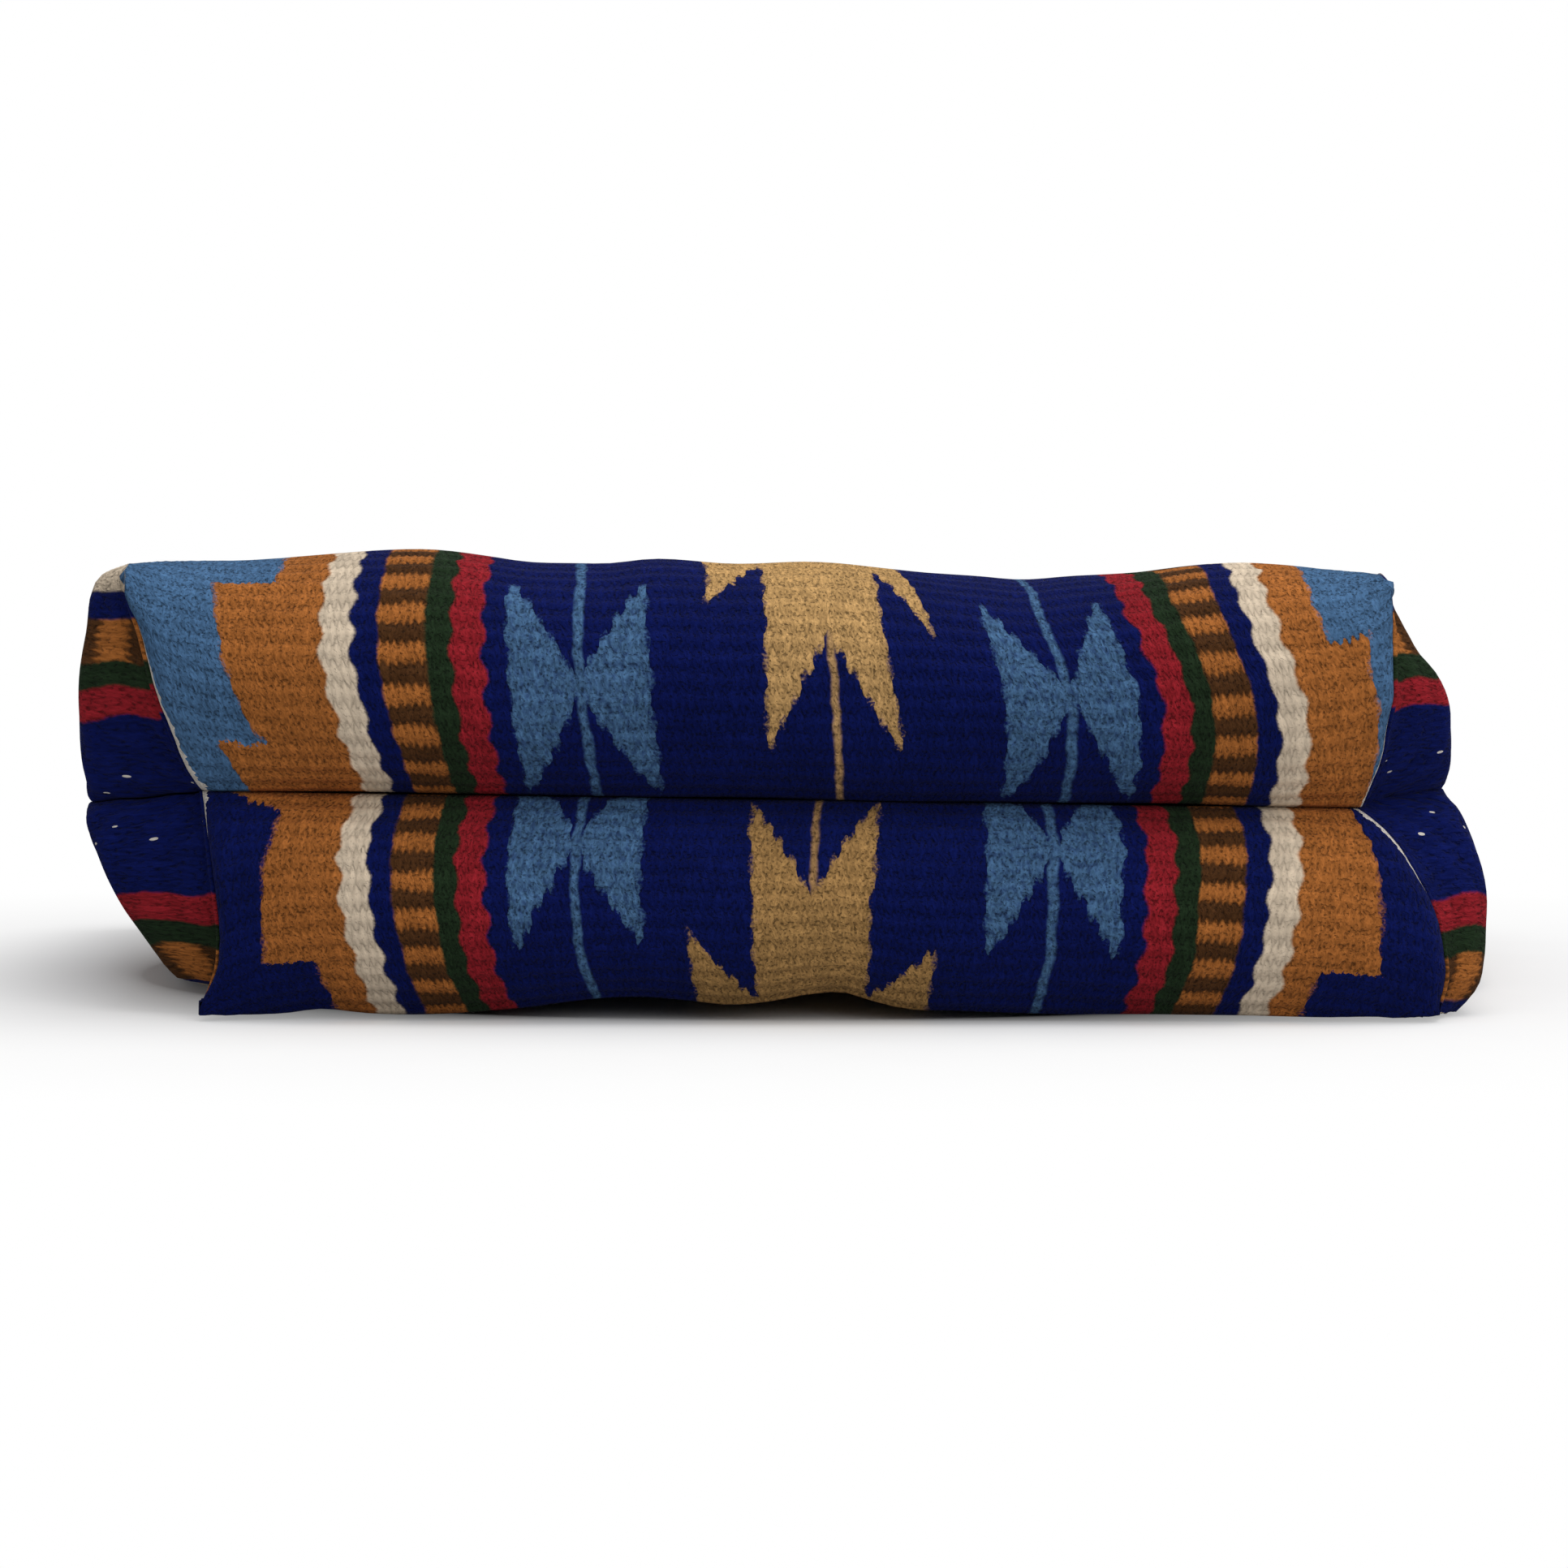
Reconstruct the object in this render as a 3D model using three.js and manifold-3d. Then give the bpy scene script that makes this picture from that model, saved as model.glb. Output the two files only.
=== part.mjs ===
// Zip-top purse of woven wool with boxed bottom corners, closed, lying on its back panel.
// Millimetres. +X across the purse, +Y from the bottom to the zip, +Z up from the resting face.
import * as THREE from 'three';
import { mergeVertices } from 'three/addons/utils/BufferGeometryUtils.js';
import Module from 'manifold-3d';

// Cloth body
const BOTTOM_WIDTH = 264; // along the bottom seam, between the boxed corners
const FRONT_DEPTH = 52.5; // bottom seam up to the front face
const BACK_DEPTH = 50.5; // bottom seam down to the resting face
const BODY_LENGTH = 215; // bottom seam to the outside of the zip hems
const TOP_WIDTH = 372; // across the zip end
const TOP_DEPTH = 40; // through the zip end
const CLOTH = 4; // thickness of the weave
const SEAM_GAP = 0.4; // between the two panels where they are sewn
const SEAM_ALLOWANCE = 8; // turned in along the bottom and side seams
const FRONT_FLARE = 16; // how far the bottom widens from its seam to the front corners
const BACK_FLARE = 13.5; // and to the back corners
const FRONT_SKEW = 5; // sideways slip of the front corners against the seam, to the left
const BACK_SKEW = 8.5; // and of the back corners, to the right
const SIDE_SKEW = 9; // the same slip along the side faces
const SKEW_END = 190; // from the bottom seam to where the sides are straight again
const SEAM_TILT = 4; // how much lower the bottom seam lies at its right end
const ROLL_BULGE = 11; // how far the bottom stands out below its seam
const ROLL_LENGTH = 26; // from the bottom seam to where a face runs straight
const SEAM_TUCK = 5; // how far the bottom seam is drawn in
const LEFT_NOTCH = 5; // rounding of the cloth into the left side seam, at the bottom
const RIGHT_NOTCH = 18; // and into the right side seam
const TOP_NOTCH = 5; // the same rounding at the zip
const BLEND_LENGTH = 48; // over which the boxed corners turn into a round section
const FLOOR_PRESS = 1.12; // how hard the back panel is pressed flat
const HEM_RADIUS = 9; // rounding of the panels into the zip hems
const HEM_FLAT = 6; // flat of a hem beside the zip
const SLACK_LENGTH = 85; // from the bottom seam to where the slack has gone
const FRONT_SLACK = [[2.5, -80, 35], [-3.2, 40, 28]]; // rise, middle and width of each wave
const BACK_SLACK = [[3.5, -42, 22], [4.5, 10, 16]];

// Curves of the cloth, as powers and shares
const TAPER_POWER = 1.1; // how the depth falls off towards the zip
const WIDEN_POWER = 2.3; // how fast the sides spread behind the bottom
const BOX_POWER = 9; // squareness of the section behind the bottom
const ROUND_POWER = 4.5; // squareness of the section at the zip
const BOX_LENGTH = 60; // how far the square section reaches
const ROUND_LENGTH = 150; // where the section is fully round
const FLARE_POWER = 1.3;
const END_POWER = 8; // how close to its ends the roll of the bottom flattens
const END_FLATTENING = 0.5;
const SEAM_LEAN = 1.2; // how the roll swells beside the seam, and at the face
const FACE_LEAN = 1.02;
const SEAM_LIFT = 0.08; // how far up the swell beside the seam begins
const STEP_POWER = 1.5; // how much closer together the steps are beside the seam

// Zip
const SLOT_HALF = 7; // from the middle of the zip to the hem
const SLOT_END = 2; // the same past the ends of the zip, where the hems close up
const TAPE = 1;
const TAPE_TAIL = 24; // length of tape past each end of the chain
const TAPE_EDGE = 3.5; // from the middle of the zip to the inner edge of a tape
const TAPE_OVERLAP = 4.5; // width of tape that is sewn behind a hem
const FIT = 0.3; // clearance between pieces that touch
const ZIP_MARGIN = 46; // from the end of the chain to the side of the purse
const TOOTH_PITCH = 4;
const TOOTH_WIDTH = 1.5;
const TOOTH_HEIGHT = 2.4; // through the tape
const TOOTH_REACH = 1.2; // past the middle of the zip
const BEAD_EDGE = 1.7; // from the middle of the zip to the bead that holds the teeth
const STOP_LENGTH = 4;
const STOP_GRIP = 1.2; // how far a stop folds over the tape

// Slider and pull
const SLIDER_LENGTH = 14;
const SLIDER_HALF_WIDTH = 5.2; // at the end that parts the chain
const SLIDER_REAR = 4.2; // half width at the other end
const SLIDER_ROUND = 3; // rounding of the wide end
const REAR_ROUND = 1;
const PLATE = 1;
const CHANNEL = 3.2; // between the two plates
const LIP = 0.9; // width of the lips that guide the tapes
const LIP_INSET = 0.1; // of the lips from the edge of the plates
const WEDGE_LENGTH = 5;
const WEDGE_WIDTH = 3;
const BRIDGE_LENGTH = 9.2;
const BRIDGE_WIDTH = 2.4;
const BRIDGE_BAR = 1.4;
const BRIDGE_HOLE = 2.4; // clear height under the bridge
const BRIDGE_ROUND = 2;
const PULL_LENGTH = 28;
const PULL_WIDTH = 8; // at the bar
const PULL_END = 6.8; // at the far end
const PULL_EYE = 2.8; // hole in the far end
const PULL_ROUND = 1;
const PULL_THICKNESS = 1.4;
const PULL_RAIL = 1.5; // beside the window of the pull
const WINDOW_LENGTH = 7;

// Mesh steps
const BOTTOM_STEPS = 20;
const ROLL_STEPS = 8;
const LENGTH_STEPS = 14;
const HEM_STEPS = 3;
const ARC_SAMPLES = 120;
const CURVE_STEPS = 8;

// Values worked out from the sizes above
const HALF_BOTTOM = BOTTOM_WIDTH / 2;
const HALF_GAP = SEAM_GAP / 2;
const TUBE_END = BODY_LENGTH - HEM_RADIUS;
const CHAIN_HALF_LENGTH = TOP_WIDTH / 2 - ZIP_MARGIN;
const TAPE_HALF_LENGTH = CHAIN_HALF_LENGTH + TAPE_TAIL;
const TAPE_REACH = SLOT_HALF + TAPE_OVERLAP;
const ZIP_Y = BODY_LENGTH - CLOTH - FIT - TAPE / 2;
const ZIP_Z = TOP_DEPTH / 2;
const SLIDER_X = CHAIN_HALF_LENGTH - SLIDER_LENGTH / 2 + WEDGE_LENGTH + FIT;
const SLOT_OPEN = SLIDER_X + PULL_LENGTH; // the slot is clear as far as the pull swings
const SLOT_CLOSED = TOP_WIDTH / 2 - SEAM_ALLOWANCE / 2;
const PIVOT_Y = CHANNEL / 2 + PLATE + BRIDGE_HOLE / 2;
const COLUMNS = BOTTOM_STEPS + 2 * ROLL_STEPS;

const WOOL = { color: 0x1d1d6a, roughness: 0.95, metalness: 0 };
const TAPE_COTTON = { color: 0x14141c, roughness: 0.9, metalness: 0 };
const BRASS = { color: 0xb08d4a, roughness: 0.35, metalness: 1 };

const wasm = await Module();
wasm.setup();

const smooth = (t) => THREE.MathUtils.smoothstep(t, 0, 1);
const bell = (x, middle, width) => Math.exp(-(((x - middle) / width) ** 2));

// How much of the bottom's depth is left at a distance y from the bottom seam, 1 to 0.
function taper(y) {
  const along = THREE.MathUtils.clamp(y / BODY_LENGTH, 0, 1);
  return Math.cos((along * Math.PI) / 2) ** TAPER_POWER;
}

// Height of the plane where the two panels meet.
function seamHeight(x, y) {
  const left = taper(y);
  return ZIP_Z + (BACK_DEPTH - ZIP_Z) * left - ((SEAM_TILT * x) / BOTTOM_WIDTH) * left ** 4;
}

function halfWidth(y) {
  const left = 1 - THREE.MathUtils.clamp(y / BODY_LENGTH, 0, 1);
  return HALF_BOTTOM + (TOP_WIDTH / 2 - HALF_BOTTOM) * (1 - left ** WIDEN_POWER);
}

function squareness(y) {
  const rounded = THREE.MathUtils.smoothstep(y, BOX_LENGTH, ROUND_LENGTH);
  return BOX_POWER + (ROUND_POWER - BOX_POWER) * rounded;
}

// Half the width of the slot between the hems, which close up past the ends of the zip.
function slotAt(x) {
  const closed = THREE.MathUtils.smoothstep(Math.abs(x), SLOT_OPEN, SLOT_CLOSED);
  return SLOT_HALF + (SLOT_END - SLOT_HALF) * closed;
}

// Steps from the seam outwards, closest together beside the seam.
const rollStep = (k) => (k / ROLL_STEPS) ** STEP_POWER;

// Half of the rounded section at y: points spaced by their length along the cloth.
function sectionAt(y, depth) {
  const width = halfWidth(y);
  const power = 2 / squareness(y);
  const points = [];
  const lengths = [0];
  for (let i = 0; i <= ARC_SAMPLES; i++) {
    const angle = (i / ARC_SAMPLES) * (Math.PI / 2);
    points.push([width * Math.sin(angle) ** power, depth * Math.cos(angle) ** power]);
    if (i > 0) {
      const [x0, z0] = points[i - 1];
      lengths.push(lengths[i - 1] + Math.hypot(points[i][0] - x0, points[i][1] - z0));
    }
  }
  const total = lengths[ARC_SAMPLES];
  return (share) => {
    const wanted = Math.abs(share) * total;
    let i = lengths.findIndex((length) => length >= wanted);
    i = Math.max(1, i < 0 ? ARC_SAMPLES : i);
    const part = (wanted - lengths[i - 1]) / (lengths[i] - lengths[i - 1] || 1);
    const [x0, z0] = points[i - 1];
    const [x1, z1] = points[i];
    const x = Math.sign(share) * (x0 + (x1 - x0) * part);
    return { x, out: z0 + (z1 - z0) * part, fromSeam: (1 - Math.abs(share)) * total };
  };
}

// One panel of cloth. Side is +1 for the front, which lies on top, and -1 for the back.
class Panel {
  constructor(side) {
    this.side = side;
    this.depth = side > 0 ? FRONT_DEPTH : BACK_DEPTH * FLOOR_PRESS;
    this.flare = side > 0 ? FRONT_FLARE : BACK_FLARE;
    this.skew = side > 0 ? FRONT_SKEW : BACK_SKEW;
    this.points = [];
    this.faces = [];
  }

  depthAt(y) {
    const end = this.side > 0 ? ZIP_Z : ZIP_Z * FLOOR_PRESS;
    return end + (this.depth - end) * taper(y);
  }

  // Sideways slip of the cloth at y, where it lies furthest out from the seam.
  skewAt(y) {
    const slip = this.skew + (SIDE_SKEW - this.skew) * THREE.MathUtils.smoothstep(y, 0, BLEND_LENGTH);
    return slip * (1 - THREE.MathUtils.smoothstep(y, BODY_LENGTH / 2, SKEW_END));
  }

  // Slack in the cloth, greatest along the edge between the bottom and the face.
  slack(x, y) {
    const fade = 1 - THREE.MathUtils.smoothstep(y, 0, SLACK_LENGTH);
    const waves = this.side > 0 ? FRONT_SLACK : BACK_SLACK;
    return waves.reduce((sum, [rise, middle, width]) => sum + fade * rise * bell(x, middle, width), 0);
  }

  // Adds a point given x, y and its distance out from the seam's height.
  add(x, y, out) {
    const share = out / this.depthAt(y);
    const slipped = x - this.side * this.skewAt(y) * share;
    const z = seamHeight(slipped, y) + this.side * (HALF_GAP + out);
    const slack = this.slack(x, y) * Math.min(1, share) ** 2;
    this.points.push(new THREE.Vector3(slipped, y, Math.max(0, z) + slack));
    return this.points.length - 1;
  }

  // Roll of the bottom, from its seam (w = 0) to the face (w = 1), s from -1 to 1 across.
  rollPoint(s, w) {
    const ends = Math.abs(s) ** END_POWER;
    const swell = (4 / 3) * (ROLL_BULGE + SEAM_TUCK) * (1 - END_FLATTENING * ends);
    const roll = new THREE.CubicBezierCurve(
      new THREE.Vector2(SEAM_TUCK, 0),
      new THREE.Vector2(SEAM_TUCK - SEAM_LEAN * swell, SEAM_LIFT * this.depth),
      new THREE.Vector2(SEAM_TUCK - swell, FACE_LEAN * this.depth),
      new THREE.Vector2(ROLL_LENGTH, this.depth),
    );
    const at = roll.getPoint(w);
    return { x: s * (HALF_BOTTOM + this.flare * w ** FLARE_POWER), y: at.x, out: at.y };
  }

  quad(a, b, c, d) {
    const corners = this.side > 0 ? [a, b, c, d] : [d, c, b, a];
    this.faces.push([corners[0], corners[1], corners[2]], [corners[0], corners[2], corners[3]]);
  }

  // Joins two rows of points with faces.
  strip(near, far) {
    for (let i = 1; i < near.length; i++) {
      this.quad(near[i - 1], near[i], far[i], far[i - 1]);
    }
  }

  build() {
    const rows = this.bottomRows();
    const first = this.edgeOfBottom(rows);
    const tube = this.tubeRows(first);
    this.seamAllowances(rows[0], tube);
    return this.thicken();
  }

  bottomRows() {
    const rows = [];
    for (let k = 0; k <= ROLL_STEPS; k++) {
      const row = [];
      for (let i = 0; i <= BOTTOM_STEPS; i++) {
        const { x, y, out } = this.rollPoint((2 * i) / BOTTOM_STEPS - 1, rollStep(k));
        row.push(this.add(x, y, out));
      }
      rows.push(row);
    }
    for (let k = 1; k <= ROLL_STEPS; k++) {
      this.strip(rows[k - 1], rows[k]);
    }
    return rows;
  }

  // The three edges of the bottom that the sides and the face grow from, left to right.
  edgeOfBottom(rows) {
    const left = rows.slice(0, -1).map((row) => row[0]);
    const right = rows.slice(0, -1).map((row) => row[BOTTOM_STEPS]);
    return [...left, ...rows[ROLL_STEPS], ...right.reverse()];
  }

  // Where a column lies around the section: -1 and 1 at the side seams, 0 in the middle.
  columnShare(column) {
    const flat = HALF_BOTTOM + this.flare / 2;
    const corner = flat / (flat + this.depth);
    const across = column - ROLL_STEPS;
    if (across >= 0 && across <= BOTTOM_STEPS) {
      return corner * ((2 * across) / BOTTOM_STEPS - 1);
    }
    const fromSeam = Math.min(column, COLUMNS - column);
    return Math.sign(across) * (1 - (1 - corner) * rollStep(fromSeam));
  }

  tubeRows(first) {
    const bases = first.map((_, column) => this.basePoint(column));
    const rows = [first];
    for (let step = 1; step <= LENGTH_STEPS + HEM_STEPS + 1; step++) {
      const row = bases.map((base, column) => this.tubePoint(base, column, step));
      this.strip(rows[step - 1], row);
      rows.push(row);
    }
    return rows;
  }

  basePoint(column) {
    const across = column - ROLL_STEPS;
    if (across >= 0 && across <= BOTTOM_STEPS) {
      return this.rollPoint((2 * across) / BOTTOM_STEPS - 1, 1);
    }
    const fromSeam = Math.min(column, COLUMNS - column);
    return this.rollPoint(Math.sign(across), rollStep(fromSeam));
  }

  tubePoint(base, column, step) {
    const along = Math.min(1, step / LENGTH_STEPS);
    const turned = THREE.MathUtils.clamp((step - LENGTH_STEPS) / HEM_STEPS, 0, 1);
    const turn = turned * (Math.PI / 2);
    const y = base.y + (TUBE_END - base.y) * along;
    const at = sectionAt(y, this.depthAt(y))(this.columnShare(column));
    const notch = TOP_NOTCH + ((at.x < 0 ? LEFT_NOTCH : RIGHT_NOTCH) - TOP_NOTCH) * taper(y);
    const bend = Math.max(0, 1 - at.fromSeam / notch) * (Math.PI / 2);
    if (bend > 0) {
      at.x -= Math.sign(at.x) * notch * (1 - Math.cos(bend));
      at.out = notch * (1 - Math.sin(bend));
    }
    const mixed = smooth((y - base.y) / BLEND_LENGTH);
    const x = base.x + (at.x - base.x) * mixed;
    const out = base.out + (at.out - base.out) * mixed;
    const hem = Math.min(out, SLOT_HALF + HEM_FLAT);
    const atSlot = step > LENGTH_STEPS + HEM_STEPS;
    const drawnIn = atSlot ? Math.min(out, slotAt(x)) : hem + (out - hem) * Math.cos(turn);
    return this.add(x, y + HEM_RADIUS * Math.sin(turn), drawnIn);
  }

  // Strips turned into the bag along the bottom and side seams up to the hems, mitred at the corners.
  seamAllowances(bottom, tube) {
    const inside = (index, x, y) => {
      const at = this.points[index];
      const yIn = at.y + y;
      const z = seamHeight(at.x + x, yIn) + this.side * HALF_GAP;
      this.points.push(new THREE.Vector3(at.x + x, yIn, z));
      return this.points.length - 1;
    };
    const turned = bottom.map((index, i) => {
      const atEnd = i === 0 ? 1 : i === BOTTOM_STEPS ? -1 : 0;
      return inside(index, atEnd * SEAM_ALLOWANCE, SEAM_ALLOWANCE);
    });
    this.strip(turned, bottom);
    const sides = [[0, 1, turned[0]], [COLUMNS, -1, turned[BOTTOM_STEPS]]];
    for (const [column, direction, corner] of sides) {
      const seam = tube.slice(0, LENGTH_STEPS + 1).map((row) => row[column]);
      const inner = seam.map((index, i) => (i ? inside(index, direction * SEAM_ALLOWANCE, 0) : corner));
      if (direction > 0) {
        this.strip(seam, inner);
      } else {
        this.strip(inner, seam);
      }
    }
  }

  // Gives the sheet its thickness inwards and closes it along its edges.
  thicken() {
    const count = this.points.length;
    const normals = this.points.map(() => new THREE.Vector3());
    for (const [a, b, c] of this.faces) {
      const ab = this.points[b].clone().sub(this.points[a]);
      const ac = this.points[c].clone().sub(this.points[a]);
      const normal = ab.cross(ac);
      [a, b, c].forEach((index) => normals[index].add(normal));
    }
    const inner = this.points.map((p, i) => p.clone().addScaledVector(normals[i].normalize(), -CLOTH));
    const triangles = [...this.faces];
    this.faces.forEach(([a, b, c]) => triangles.push([c + count, b + count, a + count]));
    const edges = new Set();
    this.faces.forEach(([a, b, c]) => [[a, b], [b, c], [c, a]].forEach((e) => edges.add(e.join())));
    for (const edge of edges) {
      const [a, b] = edge.split(',').map(Number);
      if (!edges.has([b, a].join())) {
        triangles.push([a, a + count, b], [b, a + count, b + count]);
      }
    }
    const geometry = new THREE.BufferGeometry();
    geometry.setFromPoints([...this.points, ...inner]);
    geometry.setIndex(triangles.flat());
    return geometry;
  }
}

// Solids for joining and cutting
function toSolid(geometry) {
  const bare = geometry.clone();
  bare.deleteAttribute('normal');
  bare.deleteAttribute('uv');
  const merged = mergeVertices(bare, 1e-4);
  return new wasm.Manifold(
    new wasm.Mesh({
      numProp: 3,
      vertProperties: new Float32Array(merged.attributes.position.array),
      triVerts: new Uint32Array(merged.index.array),
    }),
  );
}

function toGeometry(solid) {
  const mesh = solid.getMesh();
  const geometry = new THREE.BufferGeometry();
  geometry.setAttribute('position', new THREE.BufferAttribute(mesh.vertProperties, 3));
  geometry.setIndex(new THREE.BufferAttribute(mesh.triVerts, 1));
  return geometry;
}

const joined = (pieces) => toGeometry(pieces.map(toSolid).reduce((all, next) => all.add(next)));

// A flat shape drawn in X and Z, given its thickness along Y between two heights.
function slab(shape, low, high) {
  const geometry = new THREE.ExtrudeGeometry(shape, {
    depth: high - low,
    bevelEnabled: false,
    curveSegments: CURVE_STEPS,
  });
  return geometry.rotateX(Math.PI / 2).translate(0, high, 0);
}

// A flat shape drawn in Y and Z, drawn out along X between two ends.
function bar(shape, start, end) {
  const geometry = new THREE.ExtrudeGeometry(shape, { depth: end - start, bevelEnabled: false });
  return geometry.rotateY(Math.PI / 2).rotateX(Math.PI / 2).translate(start, 0, 0);
}

const outline = (points) => new THREE.Shape(points.map(([x, y]) => new THREE.Vector2(x, y)));

function tapeGeometry(side) {
  const edges = [[-TAPE_HALF_LENGTH, TAPE_EDGE], [TAPE_HALF_LENGTH, TAPE_EDGE],
    [TAPE_HALF_LENGTH, TAPE_REACH], [-TAPE_HALF_LENGTH, TAPE_REACH]];
  return slab(outline(edges.map(([x, z]) => [x, side * z])), -TAPE / 2, TAPE / 2);
}

// A comb: the bead along the tape with a tooth at each pitch. The two combs are half a pitch apart.
function teethGeometry(side) {
  const back = TAPE_EDGE - FIT;
  const end = CHAIN_HALF_LENGTH;
  const points = [[end, back], [-end, back], [-end, BEAD_EDGE]];
  const shift = side > 0 ? 0 : TOOTH_PITCH / 2;
  const count = Math.floor((2 * end - TOOTH_PITCH) / TOOTH_PITCH);
  for (let i = 0; i < count; i++) {
    const start = -end + TOOTH_WIDTH + shift + i * TOOTH_PITCH;
    points.push([start, BEAD_EDGE], [start, -TOOTH_REACH]);
    points.push([start + TOOTH_WIDTH, -TOOTH_REACH], [start + TOOTH_WIDTH, BEAD_EDGE]);
  }
  points.push([end, BEAD_EDGE]);
  return slab(outline(points.map(([x, z]) => [x, side * z])), -TOOTH_HEIGHT / 2, TOOTH_HEIGHT / 2);
}

// A clip folded over the edge of one tape, drawn in X (across the tape) and Y (through it).
function topStopGeometry(side, start) {
  const half = TOOTH_HEIGHT / 2 + FIT;
  const mouth = TAPE / 2 + FIT;
  const root = TAPE_EDGE - FIT;
  const grip = TAPE_EDGE + STOP_GRIP;
  const points = [[FIT, -half], [grip, -half], [grip, -mouth], [root, -mouth],
    [root, mouth], [grip, mouth], [grip, half], [FIT, half]];
  return bar(outline(points.map(([z, y]) => [y, side * z])), start, start + STOP_LENGTH);
}

// A clip folded over the edges of both tapes.
function bottomStopGeometry(start) {
  const half = TOOTH_HEIGHT / 2 + FIT;
  const mouth = TAPE / 2 + FIT;
  const root = TAPE_EDGE - FIT;
  const grip = TAPE_EDGE + STOP_GRIP;
  const right = [[-half, grip], [-mouth, grip], [-mouth, root], [mouth, root], [mouth, grip], [half, grip]];
  const left = right.map(([y, z]) => [-y, -z]);
  return bar(outline([...right, ...left]), start, start + STOP_LENGTH);
}

function sliderGeometry() {
  const front = SLIDER_LENGTH / 2;
  const wide = SLIDER_HALF_WIDTH;
  const rear = SLIDER_REAR;
  const plate = new THREE.Shape();
  plate.moveTo(-front, -rear + REAR_ROUND);
  plate.lineTo(-front, rear - REAR_ROUND);
  plate.quadraticCurveTo(-front, rear, -front + REAR_ROUND, rear);
  plate.lineTo(front - SLIDER_ROUND, wide);
  plate.quadraticCurveTo(front, wide, front, wide - SLIDER_ROUND);
  plate.lineTo(front, -wide + SLIDER_ROUND);
  plate.quadraticCurveTo(front, -wide, front - SLIDER_ROUND, -wide);
  plate.lineTo(-front + REAR_ROUND, -rear);
  plate.quadraticCurveTo(-front, -rear, -front, -rear + REAR_ROUND);
  const half = CHANNEL / 2;
  const pieces = [slab(plate, half, half + PLATE), slab(plate, -half - PLATE, -half)];
  const nose = front - REAR_ROUND;
  const wedge = outline([[front - WEDGE_LENGTH, 0], [nose, -WEDGE_WIDTH / 2], [nose, WEDGE_WIDTH / 2]]);
  pieces.push(slab(wedge, -half - PLATE / 2, half + PLATE / 2));
  const gap = TAPE / 2 + FIT;
  for (const side of [-1, 1]) {
    const [start, end] = [-front + REAR_ROUND, front - SLIDER_ROUND];
    const lip = outline([[start, side * (rear - LIP)], [end, side * (wide - LIP)],
      [end, side * (wide - LIP_INSET)], [start, side * (rear - LIP_INSET)]]);
    pieces.push(slab(lip, gap, half + PLATE / 2), slab(lip, -half - PLATE / 2, -gap));
  }
  pieces.push(bridgeGeometry(half + PLATE));
  return joined(pieces);
}

// The loop on the slider that holds the pull, drawn in X and Y.
function bridgeGeometry(base) {
  const reach = BRIDGE_LENGTH / 2;
  const top = base + BRIDGE_HOLE + BRIDGE_BAR;
  const loop = new THREE.Shape();
  loop.moveTo(-reach, base - PLATE / 2);
  loop.lineTo(reach, base - PLATE / 2);
  loop.lineTo(reach, top - BRIDGE_ROUND);
  loop.quadraticCurveTo(reach, top, reach - BRIDGE_ROUND, top);
  loop.lineTo(-reach + BRIDGE_ROUND, top);
  loop.quadraticCurveTo(-reach, top, -reach, top - BRIDGE_ROUND);
  const inner = reach - BRIDGE_BAR;
  const roof = base + BRIDGE_HOLE;
  loop.holes.push(outline([[-inner, base], [-inner, roof], [inner, roof], [inner, base]]));
  const geometry = new THREE.ExtrudeGeometry(loop, {
    depth: BRIDGE_WIDTH,
    bevelEnabled: false,
    curveSegments: CURVE_STEPS,
  });
  return geometry.translate(0, 0, -BRIDGE_WIDTH / 2);
}

// The tab, lying back along the chain from the bar that it swings on.
function pullGeometry() {
  const half = PULL_WIDTH / 2;
  const endHalf = PULL_END / 2;
  const barHalf = PULL_THICKNESS / 2;
  const farEnd = -PULL_LENGTH + endHalf;
  const tab = new THREE.Shape();
  tab.moveTo(barHalf, -half + PULL_ROUND);
  tab.lineTo(barHalf, half - PULL_ROUND);
  tab.quadraticCurveTo(barHalf, half, barHalf - PULL_ROUND, half);
  tab.lineTo(farEnd, endHalf);
  tab.absarc(farEnd, 0, endHalf, Math.PI / 2, (3 * Math.PI) / 2, false);
  tab.lineTo(barHalf - PULL_ROUND, -half);
  tab.quadraticCurveTo(barHalf, -half, barHalf, -half + PULL_ROUND);
  const side = half - PULL_RAIL;
  const far = -barHalf - WINDOW_LENGTH;
  tab.holes.push(outline([[-barHalf, -side], [far, -side], [far, side], [-barHalf, side]]));
  const eye = new THREE.Path();
  eye.absarc(farEnd, 0, PULL_EYE / 2, 0, 2 * Math.PI, true);
  tab.holes.push(eye);
  return slab(tab, -PULL_THICKNESS / 2, PULL_THICKNESS / 2);
}

function piece(name, geometry, finish) {
  const mesh = new THREE.Mesh(geometry, new THREE.MeshStandardMaterial({ name, ...finish }));
  mesh.name = name;
  return mesh;
}

const purse = new THREE.Group();
purse.position.y = -BODY_LENGTH / 2;
purse.add(piece('front_panel', new Panel(1).build(), WOOL));
purse.add(piece('back_panel', new Panel(-1).build(), WOOL));

const zip = new THREE.Group();
zip.position.set(0, ZIP_Y, ZIP_Z);
for (const [end, side] of [['front', 1], ['back', -1]]) {
  zip.add(piece(`zip_tape_${end}`, tapeGeometry(side), TAPE_COTTON));
  zip.add(piece(`zip_teeth_${end}`, teethGeometry(side), BRASS));
  const pastSlider = SLIDER_X + SLIDER_LENGTH / 2 + FIT;
  zip.add(piece(`zip_top_stop_${end}`, topStopGeometry(side, pastSlider), BRASS));
}
zip.add(piece('zip_bottom_stop', bottomStopGeometry(-CHAIN_HALF_LENGTH - FIT - STOP_LENGTH), BRASS));

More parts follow.
